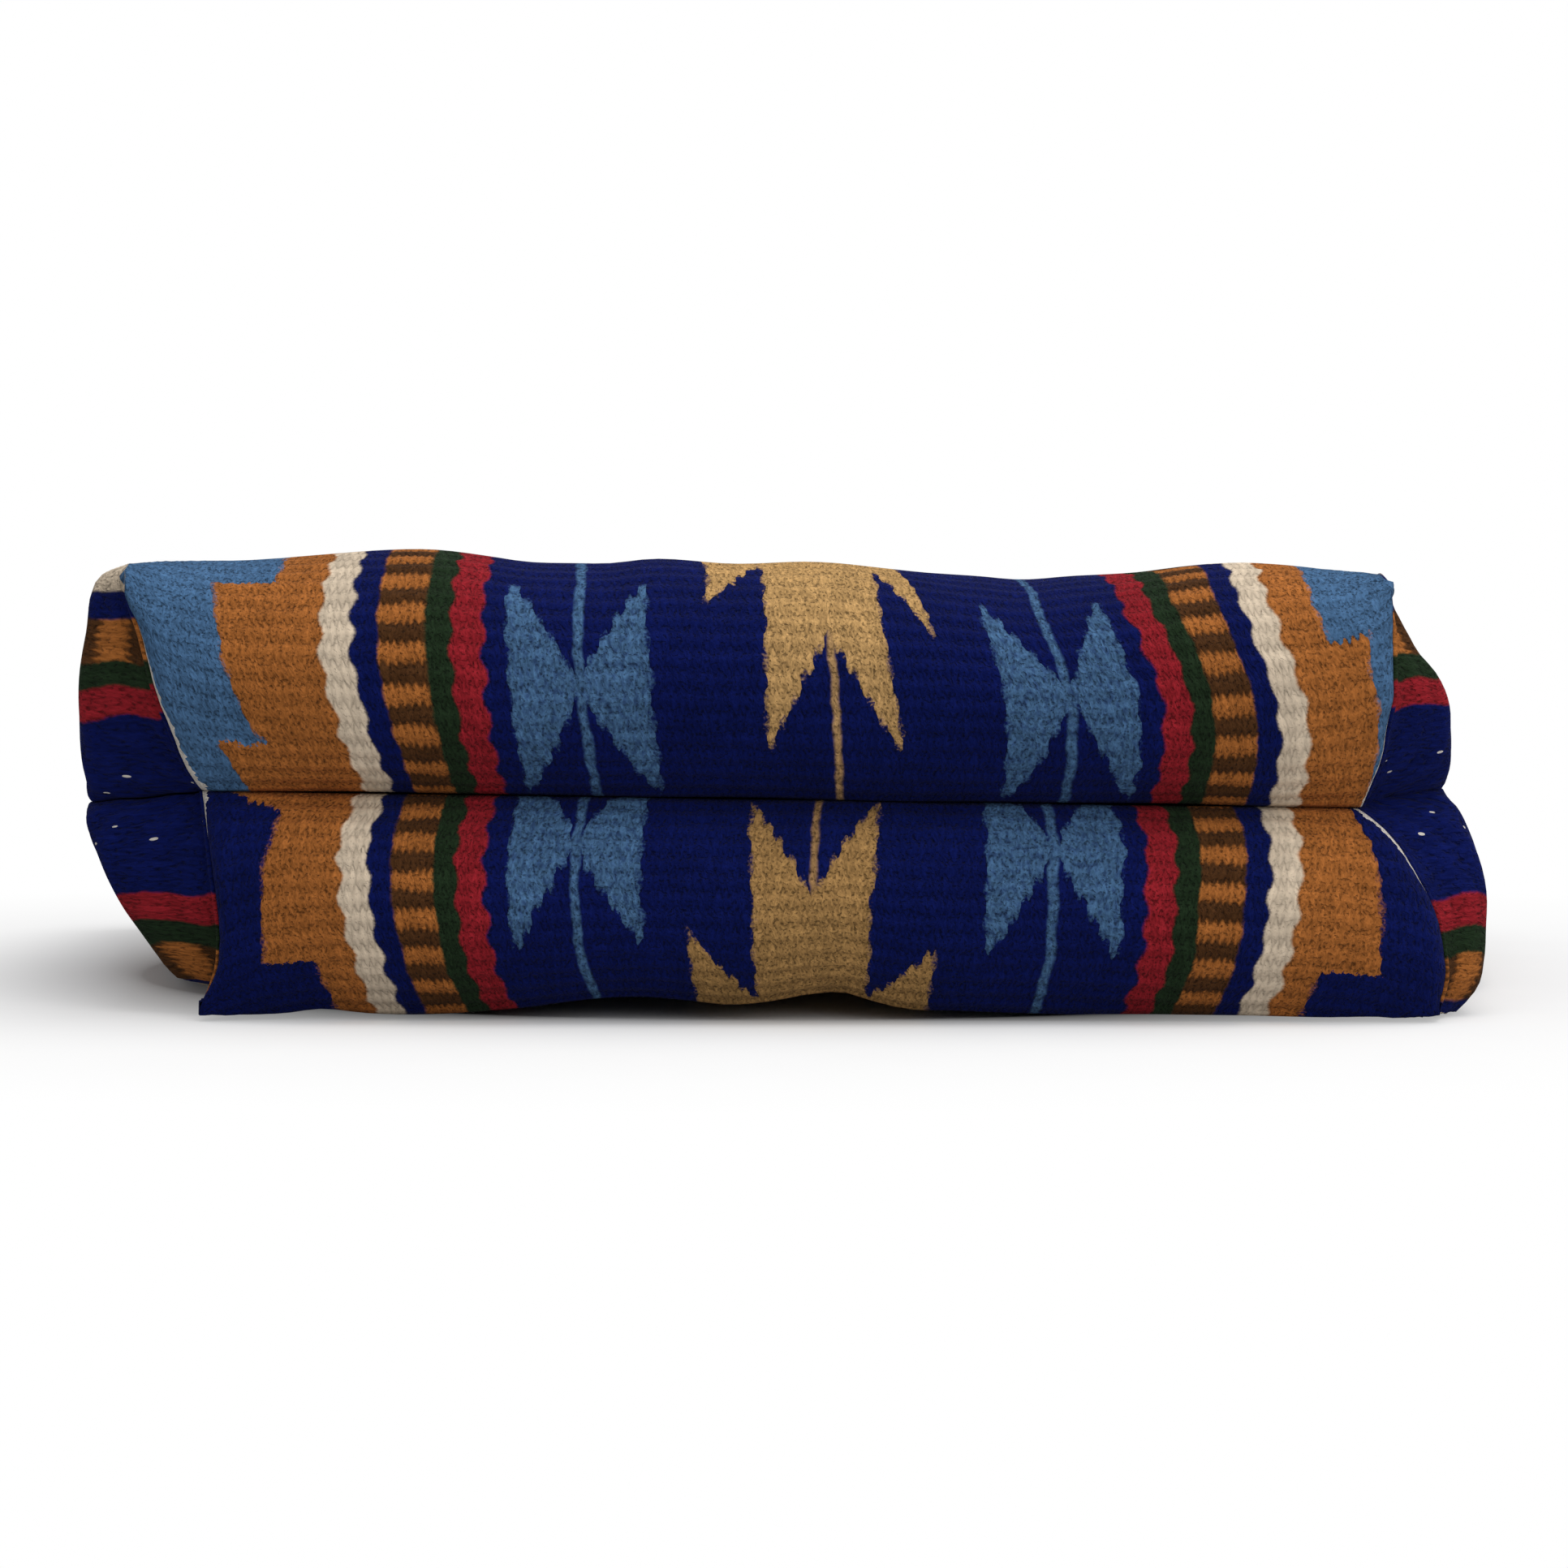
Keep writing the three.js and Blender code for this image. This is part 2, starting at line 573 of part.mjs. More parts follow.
const slider = new THREE.Group();
slider.position.x = SLIDER_X;
slider.add(piece('zip_slider', sliderGeometry(), BRASS));
const pull = piece('zip_pull', pullGeometry(), BRASS);
pull.position.y = PIVOT_Y;
slider.add(pull);
zip.add(slider);
purse.add(zip);

export default purse;
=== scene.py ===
# Zip-top purse of woven wool, lying on its back panel with its bottom to the camera.
import math
from functools import partialmethod

import bpy
import numpy as np
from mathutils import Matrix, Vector


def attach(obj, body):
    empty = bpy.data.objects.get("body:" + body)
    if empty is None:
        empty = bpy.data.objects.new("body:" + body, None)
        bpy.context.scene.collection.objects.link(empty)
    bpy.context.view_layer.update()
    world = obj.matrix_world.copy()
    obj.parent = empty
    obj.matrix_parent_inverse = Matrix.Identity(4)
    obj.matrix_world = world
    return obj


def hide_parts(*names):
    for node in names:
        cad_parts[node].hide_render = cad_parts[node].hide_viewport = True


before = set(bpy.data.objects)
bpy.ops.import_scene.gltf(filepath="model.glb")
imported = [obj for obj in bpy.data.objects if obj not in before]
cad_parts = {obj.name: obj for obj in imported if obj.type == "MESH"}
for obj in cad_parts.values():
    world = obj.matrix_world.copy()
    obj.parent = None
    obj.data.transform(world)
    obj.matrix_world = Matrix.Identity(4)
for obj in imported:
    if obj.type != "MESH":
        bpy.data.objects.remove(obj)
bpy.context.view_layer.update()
MM = 0.001

# Cloth body, in millimetres, with y counted from the bottom seam towards the zip
BODY_LENGTH = 215.0
HALF_BOTTOM = 132.0
TOP_HALF_WIDTH = 186.0
WIDEN_POWER = 2.3  # how soon the purse widens behind the bottom
ZIP_HEIGHT = 20.0
SEAM_HEIGHT = 50.5
SEAM_TILT = 4.0
TAPER_POWER = 1.1  # how soon the purse thins towards the zip
SECTION_STEPS = 161
BOTTOM_SQUARENESS = 9.0  # power of the rounded section behind the bottom
ZIP_SQUARENESS = 4.5  # the same near the zip
ROUNDING = (60, 150)  # where along the purse the one turns into the other
CLOTH = 3.2
INNER_FLOOR = 0.6  # the inside of the cloth stays this far above the floor
HALF_GAP = 0.2
ALLOWANCE = 8.0
CUT_HALF_WIDTH = 200.0  # half of the cloth's width, from the middle to a side seam
CLOTH_EASE = 1.03  # length of cloth for each length of the purse
SIDE_SKEW = 9.0
SKEW_END = 190.0
BLEND_LENGTH = 48.0  # how far behind the bottom the section is the plain one
SLACK_LENGTH = 85.0

# Roll of the bottom
ROLL_SWELL = 64 / 3
END_SWELL = 0.5  # how much of the swell the ends of the bottom lose
ROLL_LENGTH = 26.0
END_CUT = 18.0  # how much sooner the bottom turns into the face at its ends
SEAM_TUCK = 7.0
SEAM_LEAN = 1.2  # how much more the roll swells beside the seam than beside the face
SEAM_LIFT = 0.19
FACE_LIFT = 1.02
FLARE_POWER = 1.3
FLARE_HALF = 0.406  # share of the flare that is reached half way round the roll
FLARE_SLOPE = 1.563
ROLL_STEPS = 400
UPRIGHT_STEPS = 350  # how many of them are in the upright part
EDGE_SHARE = 0.961  # how much of a side's cut edge is sewn to the upright part of the bottom's end

# Sides and hems
LEFT_NOTCH = 5.0
RIGHT_NOTCH = 18.0
TOP_NOTCH = 5.0
HEM_RADIUS = 9.0
HEM_REACH = 13.0
HEM_END = 0.15  # how much of its height the hem keeps at a side seam
HEM_TAPER = 40.0  # how far from the side seam it has its full height
HEM_FLAT = 6.0
SLOT_HALF = 7.0
SLOT_END = 0.1
SLOT_OPEN = 166.3
SLOT_CLOSED = 182.0
TUBE_END = BODY_LENGTH - HEM_RADIUS
SIDE_SHARE = (0.7, 0.76)  # share of the cloth's width where the face turns into the side
SPREAD_SHARE = (0.6, 0.76)  # share of the width where the reach of the ends sets in
SPREAD_FROM = 0.5  # columns nearer to the middle stay as they are
SIDE_SPAN = 57.0  # from a side seam to the boxed corner, along the cloth

# Mesh columns, in millimetres from an end of the bottom, from the fold of a side, and from the middle
END_COLUMNS = [0, 0.5, 1.0, 1.6, 2.3, 3.2, 4.4, 6.0, 8.0, 10.5]
FOLD_COLUMNS = [0, 0.2, 0.5, 0.8, 1.2, 1.6, 2.1]
SEAM_COLUMNS = [192, 193.8, 195.2, 196.4, 197.4, 198.2, 199, 199.6, 200]
LENGTH_STEPS = 212
HEM_STEPS = 17
FLAT_STEPS = 8

# Weave, in millimetres
PITCH = 4.5  # from one warp to the next
GRAIN = 1.9  # width of one yarn over a warp
RIDGE = 0.34  # height of the cloth over a warp
ROW = PITCH / 5  # length of a mesh row, five to a ridge
LOCK = 0.2  # how far the yarns of one ridge reach between those of the next
SWAY = 0.62  # how far a stripe sways from ridge to ridge
EDGE_BLUR = 1.0  # how wide two colours mix where they meet
SEAM_VALLEY = 2.8
VALLEY_REACH = 4.5
VALLEY_FADE = (0.6, 0.9)
FLAT_EDGE = 0.15  # how much of its ridges the cloth keeps at an edge
STEADY_ROW = 6  # the first mesh row behind the bottom where the cloth's direction is sure
CREASE_COLUMNS = 5
CREASE_WIDTH = 5.0
TURN_IN = 3.0  # how far the inside of the cut edge lies behind the outside

# How far each end of the purse reaches from the middle, by height above the floor
LEFT_REACH = [(0, 136.0), (7, 141.0), (16, 147.1), (24, 152.2), (32, 156.3), (41, 160.5), (46, 162.2),
              (50, 162.2), (54, 162.0), (60, 162.3), (69, 162.3), (79, 161.9), (88, 160.8), (98, 159.7),
              (102, 157.6), (105, 151.5)]
RIGHT_REACH = [(0, 154.4), (6, 160.0), (13, 162.0), (20, 162.5), (28, 162.6), (36, 160.9), (43, 158.1),
               (47, 156.0), (50, 153.9), (56, 154.2), (66, 154.1), (71, 153.4), (75, 151.9), (79, 149.4),
               (83, 145.7), (88, 142.7), (92, 140.6), (95, 139.3), (100, 139.0), (104, 137.5)]
REACH_DEPTH = 17.0  # how far behind the bottom seam the ends reach that far
REACH_FADE = (70, 150)
FLARE_LENGTH = 16.0
FAR_START = 31.0  # how far behind the bottom seam the far part of a side begins
FAR_SLACK = 0.05  # how much faster the far part of a side falls back than the line of sight
SETTLE_LENGTH = 10.0
VIEW_DISTANCE = 1000.0  # from the camera to the bottom seam
VIEW_HEIGHT = 54.5  # height of its line of sight there
VIEW_FALL = 0.07  # how steeply it looks down
LEFT_LIFT = 8.5  # how far the left end stands off the floor beside the bottom
LIFT_HEIGHT = 25.0
LIFT_START = 5.0
LIFT_FADE = (10, 150)
GROOVE = 3.0  # how deep the cloth of a side falls in behind the edge of the bottom
GROOVE_LENGTH = 13.0
GROOVE_FADE = (0.8, 0.97)
LOW_GROOVE = 1.6  # how much deeper it falls in at the lower left
LEFT_CLIMB = -3.4  # how far the left side seam climbs behind the bottom
RIGHT_CLIMB = 3.5
CLIMB_START = 16.0
CLIMB_FADE = (90, 190)
CLIMB_REACH = 35.0
SIDE_VALLEY = 0.8
SIDE_VALLEY_WIDTH = 4.0

# How the front and the back differ. Slack gives the rise of the edge between bottom and face by x.
# Left and right give the shift of a boxed end against the plain curve by the share of the roll.
# Stripes gives the shift of the stripes on the left and the right side. Axis, red and white give the
# place across the cloth of the pattern's axis, red stripe and cream stripe by the length along it.
FRONT = {
    "side": 1,
    "depth": 52.5,
    "end": 20.0,
    "flare": 16.0,
    "skew": 5.0,
    "slack": [(-153, -1.2), (-143, -0.8), (-124, -0.3), (-108, 1.3), (-93, 2.8), (-80, 3.6), (-68, 2.8),
              (-59, 1.6), (-50, 1.2), (-40, 0.9), (-31, 2.0), (-12, 1.2), (6, 1.8), (25, 0.4), (44, -1.9),
              (55, -3.4), (68, -1.6), (81, 0.4), (92, 2.5), (104, 3.8), (117, 3.2), (128, 1.8), (137, 0.7),
              (146, 0.2)],
    "stripes": (-1.0, 4.5),
    "left": [(0, -3.5), (0.14, -4.8), (0.27, -5.1), (0.38, -5.6), (0.5, -5.0), (0.58, -3.9), (0.63, -3.5),
             (0.69, -3.1), (0.75, -1.6), (0.79, 0.0), (0.85, 2.2), (0.9, 3.3), (1, 4.0)],
    "right": [(0, 2.5), (0.12, 3.4), (0.24, 4.8), (0.35, 4.9), (0.43, 5.4), (0.56, 3.5), (0.7, 0.4),
              (0.79, -2.5), (0.85, -4.5), (0.88, -5.7), (1, -7.0)],
    "axis": [(0, 12.0), (12, 12.5), (90, 12.5), (140, 8.0)],
    "red_left": [(0, -65.6), (12, -66.3), (27, -67.2), (46, -66.7), (79, -63.0), (140, -70.0)],
    "red_right": [(0, 85.4), (6, 86.2), (18, 88.4), (27, 89.2), (33, 89.0), (39, 87.2), (46, 85.4),
                  (53, 83.1), (66, 82.0), (82, 81.7), (140, 86.0)],
    "white_left": [(0, -90.4), (8, -91.2), (16, -92.5), (22, -93.8), (29, -94.8), (36, -96.2), (46, -95.6),
                   (57, -94.5), (79, -90.8), (140, -100.0)],
    "white_right": [(0, 111.8), (7, 112.7), (18, 114.3), (25, 114.7), (33, 113.3), (40, 111.4), (47, 109.7),
                    (56, 108.1), (72, 108.4), (81, 106.3), (140, 115.0)],
}
BACK = {
    "side": -1,
    "depth": 56.56,
    "end": 22.4,
    "flare": 13.5,
    "skew": 8.5,
    "slack": [(-134, 1.4), (-124, 1.4), (-115, 1.9), (-106, 2.8), (-96, 1.9), (-78, 2.0), (-68, 2.3),
              (-59, 2.9), (-50, 4.4), (-40, 6.3), (-31, 7.1), (-22, 6.5), (-12, 5.4), (-3, 6.6), (6, 8.9),
              (14, 9.2), (20, 6.5), (28, 3.6), (40, 2.8), (60, 2.6), (100, 1.7), (119, 1.5), (147, 1.9)],
    "stripes": (3.5, 1.3),
    "left": [(0, -3.3), (0.17, -1.5), (0.29, -0.1), (0.49, 1.9), (0.61, 2.2), (0.67, 1.4), (0.74, 1.0),
             (0.85, 2.7), (0.9, 3.2), (1, 3.0)],
    "right": [(0, 1.6), (0.08, 5.0), (0.15, 7.4), (0.26, 9.6), (0.37, 11.1), (0.47, 10.5), (0.57, 8.2),
              (0.69, 2.8), (0.8, -1.3), (0.88, -3.5), (1, -4.0)],
    "axis": [(0, 7.4), (47, 0.0), (60, -1.5), (140, -1.5)],
    "red_left": [(0, -67.5), (7, -68.6), (17, -70.9), (29, -72.5), (38, -72.7), (46, -72.7), (54, -71.3),
                 (140, -80.0)],
    "red_right": [(0, 81.5), (5, 81.9), (12, 82.5), (22, 81.0), (30, 79.5), (38, 78.0), (44, 76.1),
                  (53, 72.8), (140, 78.0)],
    "white_left": [(0, -92.0), (7, -93.5), (16, -96.3), (26, -97.4), (33, -97.9), (44, -97.0), (51, -96.3),
                   (57, -95.7), (140, -110.0)],
    "white_right": [(0, 109.0), (12, 109.8), (24, 107.8), (32, 105.6), (39, 103.3), (45, 101.2), (52, 98.2),
                    (140, 107.0)],
}
RED_MIDDLE = 79.5  # from the axis of the pattern to the middle of the red stripe
WHITE_MIDDLE = 109.5


def smooth(value, low=0.0, high=1.0):
    share = np.clip((value - low) / (high - low), 0, 1)
    return share * share * (3 - 2 * share)


def along_table(table, at):
    """The value of a table of pairs at each of the given places, eased between its points."""
    places, values = np.array(table, float).T
    index = np.clip(np.searchsorted(places, at) - 1, 0, len(places) - 2)
    share = np.clip((at - places[index]) / (places[index + 1] - places[index]), 0, 1)
    slopes = np.gradient(values, places)
    span = places[index + 1] - places[index]
    low, high = values[index], values[index + 1]
    rest = 1 - share
    return (low * rest * rest * (1 + 2 * share) + high * share * share * (1 + 2 * rest)
            + slopes[index] * span * share * rest * rest - slopes[index + 1] * span * share * share * rest)


def taper(y):
    return np.cos(np.clip(y / BODY_LENGTH, 0, 1) * math.pi / 2) ** TAPER_POWER


def seam_height(x, y):
    left = taper(y)
    return ZIP_HEIGHT + (SEAM_HEIGHT - ZIP_HEIGHT) * left - SEAM_TILT * x / (2 * HALF_BOTTOM) * left**4


def half_width(y):
    left = 1 - np.clip(y / BODY_LENGTH, 0, 1)
    return HALF_BOTTOM + (TOP_HALF_WIDTH - HALF_BOTTOM) * (1 - left**WIDEN_POWER)


def section(y, depth, share):
    """Points of the rounded section at each y, a share of the way from the middle to the side seam."""
    width = half_width(y)[:, None]
    squareness = BOTTOM_SQUARENESS - (BOTTOM_SQUARENESS - ZIP_SQUARENESS) * smooth(y, *ROUNDING)
    power = (2 / squareness)[:, None]
    angle = np.linspace(0, math.pi / 2, SECTION_STEPS)[None]
    x = width * np.sin(angle) ** power
    out = depth[:, None] * np.abs(np.cos(angle)) ** power
    lengths = np.cumsum(np.hypot(np.diff(x, axis=1), np.diff(out, axis=1)), axis=1)
    lengths = np.concatenate([np.zeros((len(y), 1)), lengths], axis=1)
    total = lengths[:, -1]
    wanted = share * total
    index = np.clip((lengths < wanted[:, None]).sum(1), 1, SECTION_STEPS - 1)
    rows = np.arange(len(y))
    start = lengths[rows, index - 1]
    part = (wanted - start) / np.maximum(lengths[rows, index] - start, 1e-9)
    at_x = x[rows, index - 1] + (x[rows, index] - x[rows, index - 1]) * part
    at_out = out[rows, index - 1] + (out[rows, index] - out[rows, index - 1]) * part
    return at_x, at_out, (1 - share) * total


def seam_dip(far, w):
    """How deep the cloth falls in beside a boxed seam, far from it and at w on the roll."""
    dip = SEAM_VALLEY * np.clip(1 - far / VALLEY_REACH, 0, 1) ** 2 / math.sqrt(2)
    return dip * (1 - smooth(w, *VALLEY_FADE))


class Panel:
    """One woven panel: the bottom half between the boxed corners, and the face with half of each side."""

    def __init__(self, look):
        self.look = look
        self.side = look["side"]
        self.depth = look["depth"]
        self.flare = look["flare"]
        flat = HALF_BOTTOM + self.flare / 2
        self.corner = flat / (flat + self.depth)
        self.stretch = CUT_HALF_WIDTH * self.corner / (HALF_BOTTOM + self.flare)
        steps = np.linspace(0, 1, ROLL_STEPS)
        _, y, out = self.roll(np.zeros(ROLL_STEPS), steps)
        arc = np.concatenate([[0], np.cumsum(np.hypot(np.diff(y), np.diff(out)))])
        self.arc = (steps, arc)
        climbed = out[:UPRIGHT_STEPS] / out[UPRIGHT_STEPS - 1] * EDGE_SHARE
        self.climb = (np.append(climbed, 1), np.append(steps[:UPRIGHT_STEPS], 1))
        self.bottom_length = arc[-1]

    def depth_at(self, y):
        return self.look["end"] + (self.depth - self.look["end"]) * taper(y)

    def place(self, x, y, out):
        """Points in the row frame for x, y and the distance out from the height of the seam."""
        share = out / self.depth_at(y)
        skew = self.look["skew"]
        slip = skew + (SIDE_SKEW - skew) * smooth(y, 0, BLEND_LENGTH)
        slip = slip * (1 - smooth(y, BODY_LENGTH / 2, SKEW_END))
        slipped = x - self.side * slip * share
        z = seam_height(slipped, y) + self.side * (HALF_GAP + out)
        slack = along_table(self.look["slack"], slipped) * (1 - smooth(y, 0, SLACK_LENGTH))
        z = np.maximum(0, z) + slack * np.clip(share, 0, 1) ** 2
        return np.stack([slipped, y - BODY_LENGTH / 2, z], -1)

    def roll(self, across, w):
        """The bottom's roll from its seam (w = 0) to the face (w = 1), across from -1 to 1."""
        swell = ROLL_SWELL * (1 - END_SWELL * np.abs(across) ** 8)
        length = ROLL_LENGTH - END_CUT * np.abs(across) ** 10
        first, second, third, last = (1 - w) ** 3, 3 * w * (1 - w) ** 2, 3 * w * w * (1 - w), w**3
        y = (first * SEAM_TUCK + second * (SEAM_TUCK - SEAM_LEAN * swell) + third * (SEAM_TUCK - swell)
             + last * length)
        out = self.depth * (second * SEAM_LIFT + third * FACE_LIFT + last)
        shift = np.where(across < 0, along_table(self.look["left"], w), along_table(self.look["right"], w))
        x = across * (HALF_BOTTOM + self.flare * self.spread(w)) + shift * np.abs(across) ** 5
        return x, y, out

    @staticmethod
    def spread(w):
        """How much of the flare the bottom has, which it reaches before it turns into the face."""
        upper = np.minimum(1, FLARE_HALF + (w - 0.5) * FLARE_SLOPE)
        return np.where(w < 0.5, np.clip(w, 0, 1) ** FLARE_POWER, upper)

    def pattern(self, u, v):
        """Distance across the pattern from its axis, for a place u across and v along the cloth."""
        axis = along_table(self.look["axis"], v)
        across = u - axis
        result = across * 0
        for sign, name in ((-1, "left"), (1, "right")):
            red = np.abs(along_table(self.look["red_" + name], v) - axis)
            white = np.abs(along_table(self.look["white_" + name], v) - axis)
            far = np.abs(across)
            inner = far / red * RED_MIDDLE
            band = RED_MIDDLE + (far - red) / (white - red) * (WHITE_MIDDLE - RED_MIDDLE)
            outer = WHITE_MIDDLE + far - white
            here = np.where(far < red, inner, np.where(far < white, band, outer))
            result = np.where(across * sign > 0, sign * here, result)
        return result

    def bottom(self):
        """The bottom half, from its turned-in seam allowance to the face."""
        edge = np.concatenate([END_COLUMNS, np.linspace(13.5, HALF_BOTTOM, 37)])
        across = np.concatenate([edge / HALF_BOTTOM - 1, (1 - edge / HALF_BOTTOM)[-2::-1]])
        v = np.arange(0, self.bottom_length, ROW)
        v = np.append(v, self.bottom_length)
        w = np.interp(v, self.arc[1], self.arc[0])
        s, w = np.meshgrid(across, w)
        x, y, out = self.roll(s, w)
        far = (1 - np.abs(s)) * HALF_BOTTOM
        dip = seam_dip(far, w)
        points = self.place(x - np.sign(s) * dip, y + dip, out)
        u = x * self.stretch
        v = v[:, None] * (1 - CLOTH_EASE * END_CUT * np.abs(s) ** 10 / self.bottom_length)
        # Below zero, the third cloth place is the distance from a boxed seam.
        cloth = np.stack([self.pattern(u, v), v, -0.05 - far], -1)
        turned = [points[0] + np.array([0, step, 0]) for step in (ALLOWANCE, ALLOWANCE / 2)]
        hidden = [cloth[0] - np.array([0, step, 0]) for step in (ALLOWANCE, ALLOWANCE / 2)]
        points, cloth = np.concatenate([turned, points]), np.concatenate([hidden, cloth])
        far = np.concatenate([far[:2], far])
        rise = np.clip(np.arange(len(points)) / 5, 0, 1)[:, None] * np.clip(far / 6, FLAT_EDGE, 1)
        return points, cloth, rise, np.zeros(points.shape[1])

    def body(self):
        """The face with half of each side, from the boxed seams to the edge beside the zip."""
        fold = CUT_HALF_WIDTH * self.corner
        half = np.concatenate([np.linspace(0, 128, 37), np.linspace(130.5, fold - 1.5, 7),
                               fold + np.array(FOLD_COLUMNS), np.linspace(fold + 4, 190, 20), SEAM_COLUMNS])
        shares = np.concatenate([-half[:0:-1], half]) / CUT_HALF_WIDTH
        steps = np.linspace(0, 1, LENGTH_STEPS)
        columns, cloths = [], []
        for share in shares:
            across, w = share / self.corner, 1.0
            if abs(share) > self.corner:
                across = np.sign(share)
                w = np.interp((1 - abs(share)) / (1 - self.corner), *self.climb)
            base = [part[0] for part in self.roll(np.array([across]), np.array([w]))]
            column, cloth = self.column(share, base, w, steps)
            columns.append(column)
            cloths.append(cloth)
        points, cloth = np.stack(columns, 1), np.stack(cloths, 1)
        inward = np.array([ALLOWANCE, 0, 0])
        points = np.concatenate([points[:, [0]] + inward, points, points[:, [-1]] - inward], 1)
        cloth = np.concatenate([cloth[:, [0]], cloth, cloth[:, [-1]]], 1)
        shares = np.concatenate([[1], np.abs(shares), [1]])
        near_edge = np.clip((self.corner - shares) / self.corner * HALF_BOTTOM / 6, FLAT_EDGE, 1)
        rise = np.maximum(near_edge, np.clip(np.arange(len(points)) / 7, FLAT_EDGE, 1)[:, None])
        crease = np.clip(2 - np.abs(shares * CUT_HALF_WIDTH - fold) / CREASE_WIDTH, 0, 1)
        return points, cloth, rise, crease

    def column(self, share, base, w, steps):
        """A line of the cloth from its base on the bottom's edge, at w on the roll, to the zip."""
        base_x, base_y, base_out = base
        sign = np.sign(share)
        y = base_y + (TUBE_END - base_y) * steps
        at_x, at_out, from_seam = section(y, self.depth_at(y), np.full(len(y), abs(share)))
        at_x = sign * at_x
        side_notch = LEFT_NOTCH if share < 0 else RIGHT_NOTCH
        notch = TOP_NOTCH + (side_notch - TOP_NOTCH) * taper(y)
        bend = np.maximum(0, 1 - from_seam / notch) * math.pi / 2
        at_x = np.where(bend > 0, at_x - sign * notch * (1 - np.cos(bend)), at_x)
        at_out = np.where(bend > 0, notch * (1 - np.sin(bend)), at_out)
        mixed = smooth((y - base_y) / BLEND_LENGTH)
        x = base_x + (at_x - base_x) * mixed
        out = base_out + (at_out - base_out) * mixed
        at_side = smooth(abs(share), *SIDE_SHARE)
        q = at_side * out * SIDE_SPAN / self.depth_at(y) + (1 - at_side) * (1 - abs(share)) * CUT_HALF_WIDTH
        q = q - self.look["stripes"][int(share > 0)]
        u = np.full(len(y), share * CUT_HALF_WIDTH)
        if abs(share) > self.corner:
            dip = seam_dip(y - base_y, w)
            x, y = x - sign * dip, y + dip
        else:
            plain_x = share / self.corner * (HALF_BOTTOM + self.flare)
            u = u + (base_x - plain_x) * self.stretch * (1 - mixed)
        v = self.bottom_length + (y - ROLL_LENGTH) * CLOTH_EASE
        # The hem rolls over towards the zip and lies flat beside it.
        turn = np.linspace(0, math.pi / 2, HEM_STEPS)[1:]
        flat = np.linspace(0, 1, FLAT_STEPS)[1:]
        hem = min(out[-1], HEM_REACH)
        full = smooth(from_seam[-1], 0, HEM_TAPER)
        radius = HEM_RADIUS * (HEM_END + (1 - HEM_END) * full)
        closed = smooth(abs(x[-1]), SLOT_OPEN, SLOT_CLOSED)
        slot = min(hem, SLOT_HALF + (SLOT_END - SLOT_HALF) * closed)
        rolled = hem + (out[-1] - hem) * np.cos(turn)
        out = np.concatenate([out, rolled, hem + (slot - hem) * flat])
        y = np.concatenate([y, y[-1] + radius * np.sin(turn), y[-1] + radius + (1 - full) * flat])
        v = np.concatenate([v, v[-1] + HEM_RADIUS * turn, v[-1] + HEM_RADIUS * math.pi / 2 + HEM_FLAT * flat])
        x, u, q = (np.append(part, np.full(len(turn) + len(flat), part[-1])) for part in (x, u, q))
        points = self.place(x, y, out)
        if abs(share) > SPREAD_FROM:
            points, lift = self.spread_side(share, points, out)
            q = q + self.side * lift
        return points, np.stack([self.pattern(u, v), v, np.maximum(q, 0.05)], -1)

    def spread_side(self, share, points, out):
        """Brings a column of the side out to the outline that its end of the purse has."""
        x, y, z = np.abs(points[:, 0]), points[:, 1] + BODY_LENGTH / 2, points[:, 2]
        along = y - y[0]
        turned = smooth(abs(share), *SPREAD_SHARE)
        lowest = np.clip(1 - z / LIFT_HEIGHT, 0, 1) * (share < 0)
        low = lowest * LEFT_LIFT * smooth(along / LIFT_START) * (1 - smooth(y, *LIFT_FADE))
        climb = LEFT_CLIMB if share < 0 else RIGHT_CLIMB
        climb = climb * smooth(along / CLIMB_START) * (1 - smooth(y, *CLIMB_FADE))
        climb = climb * (1 - smooth(out, 0, CLIMB_REACH))
        z = z + turned * (low + climb)
        table = LEFT_REACH if share < 0 else RIGHT_REACH
        valley = SIDE_VALLEY * np.clip(1 - out / SIDE_VALLEY_WIDTH, 0, 1) ** 2
        wide = x[0] + (along_table(table, z) - valley - x[0]) * smooth(along / FLARE_LENGTH)
        x = x + turned * (1 - smooth(y, *REACH_FADE)) * np.maximum(0, wide - x)
        upright = 1 - smooth((1 - abs(share)) / (1 - self.corner), *GROOVE_FADE)
        groove = upright + LOW_GROOVE * lowest * turned
        x = x - GROOVE * groove * np.sin(math.pi * np.clip(along / GROOVE_LENGTH, 0, 1))
        # Seen from the front, the far part of the side stays inside the same outline.
        seen = 1 + (y - REACH_DEPTH) / VIEW_DISTANCE
        height = VIEW_HEIGHT + (z - VIEW_HEIGHT + (y - REACH_DEPTH) * VIEW_FALL) / seen
        limit = along_table(table, height) * seen - FAR_SLACK * np.maximum(0, y - FAR_START)
        x = np.minimum(x, limit + np.maximum(0, x[0] - limit[0]) * (1 - smooth(along / SETTLE_LENGTH)))
        return np.stack([np.sign(share) * x, points[:, 1], z], -1), turned * low


def unit(vectors):
    return vectors / np.maximum(np.linalg.norm(vectors, axis=-1, keepdims=True), 1e-9)


def surface_normals(points, crease):
    """Normals of a grid of points, evened out over the columns beside a crease."""
    down, across = np.gradient(points, axis=0), np.gradient(points, axis=1)
    normal = unit(np.cross(across, down))
    steady = np.concatenate([np.repeat(normal[[STEADY_ROW]], STEADY_ROW, 0), normal[STEADY_ROW:]])
    wide = np.pad(steady, ((0, 0), (CREASE_COLUMNS, CREASE_COLUMNS), (0, 0)), "edge")
    evened = sum(wide[:, k:k + points.shape[1]] for k in range(2 * CREASE_COLUMNS + 1))
    return unit(normal * (1 - crease[:, None]) + unit(evened) * crease[:, None])


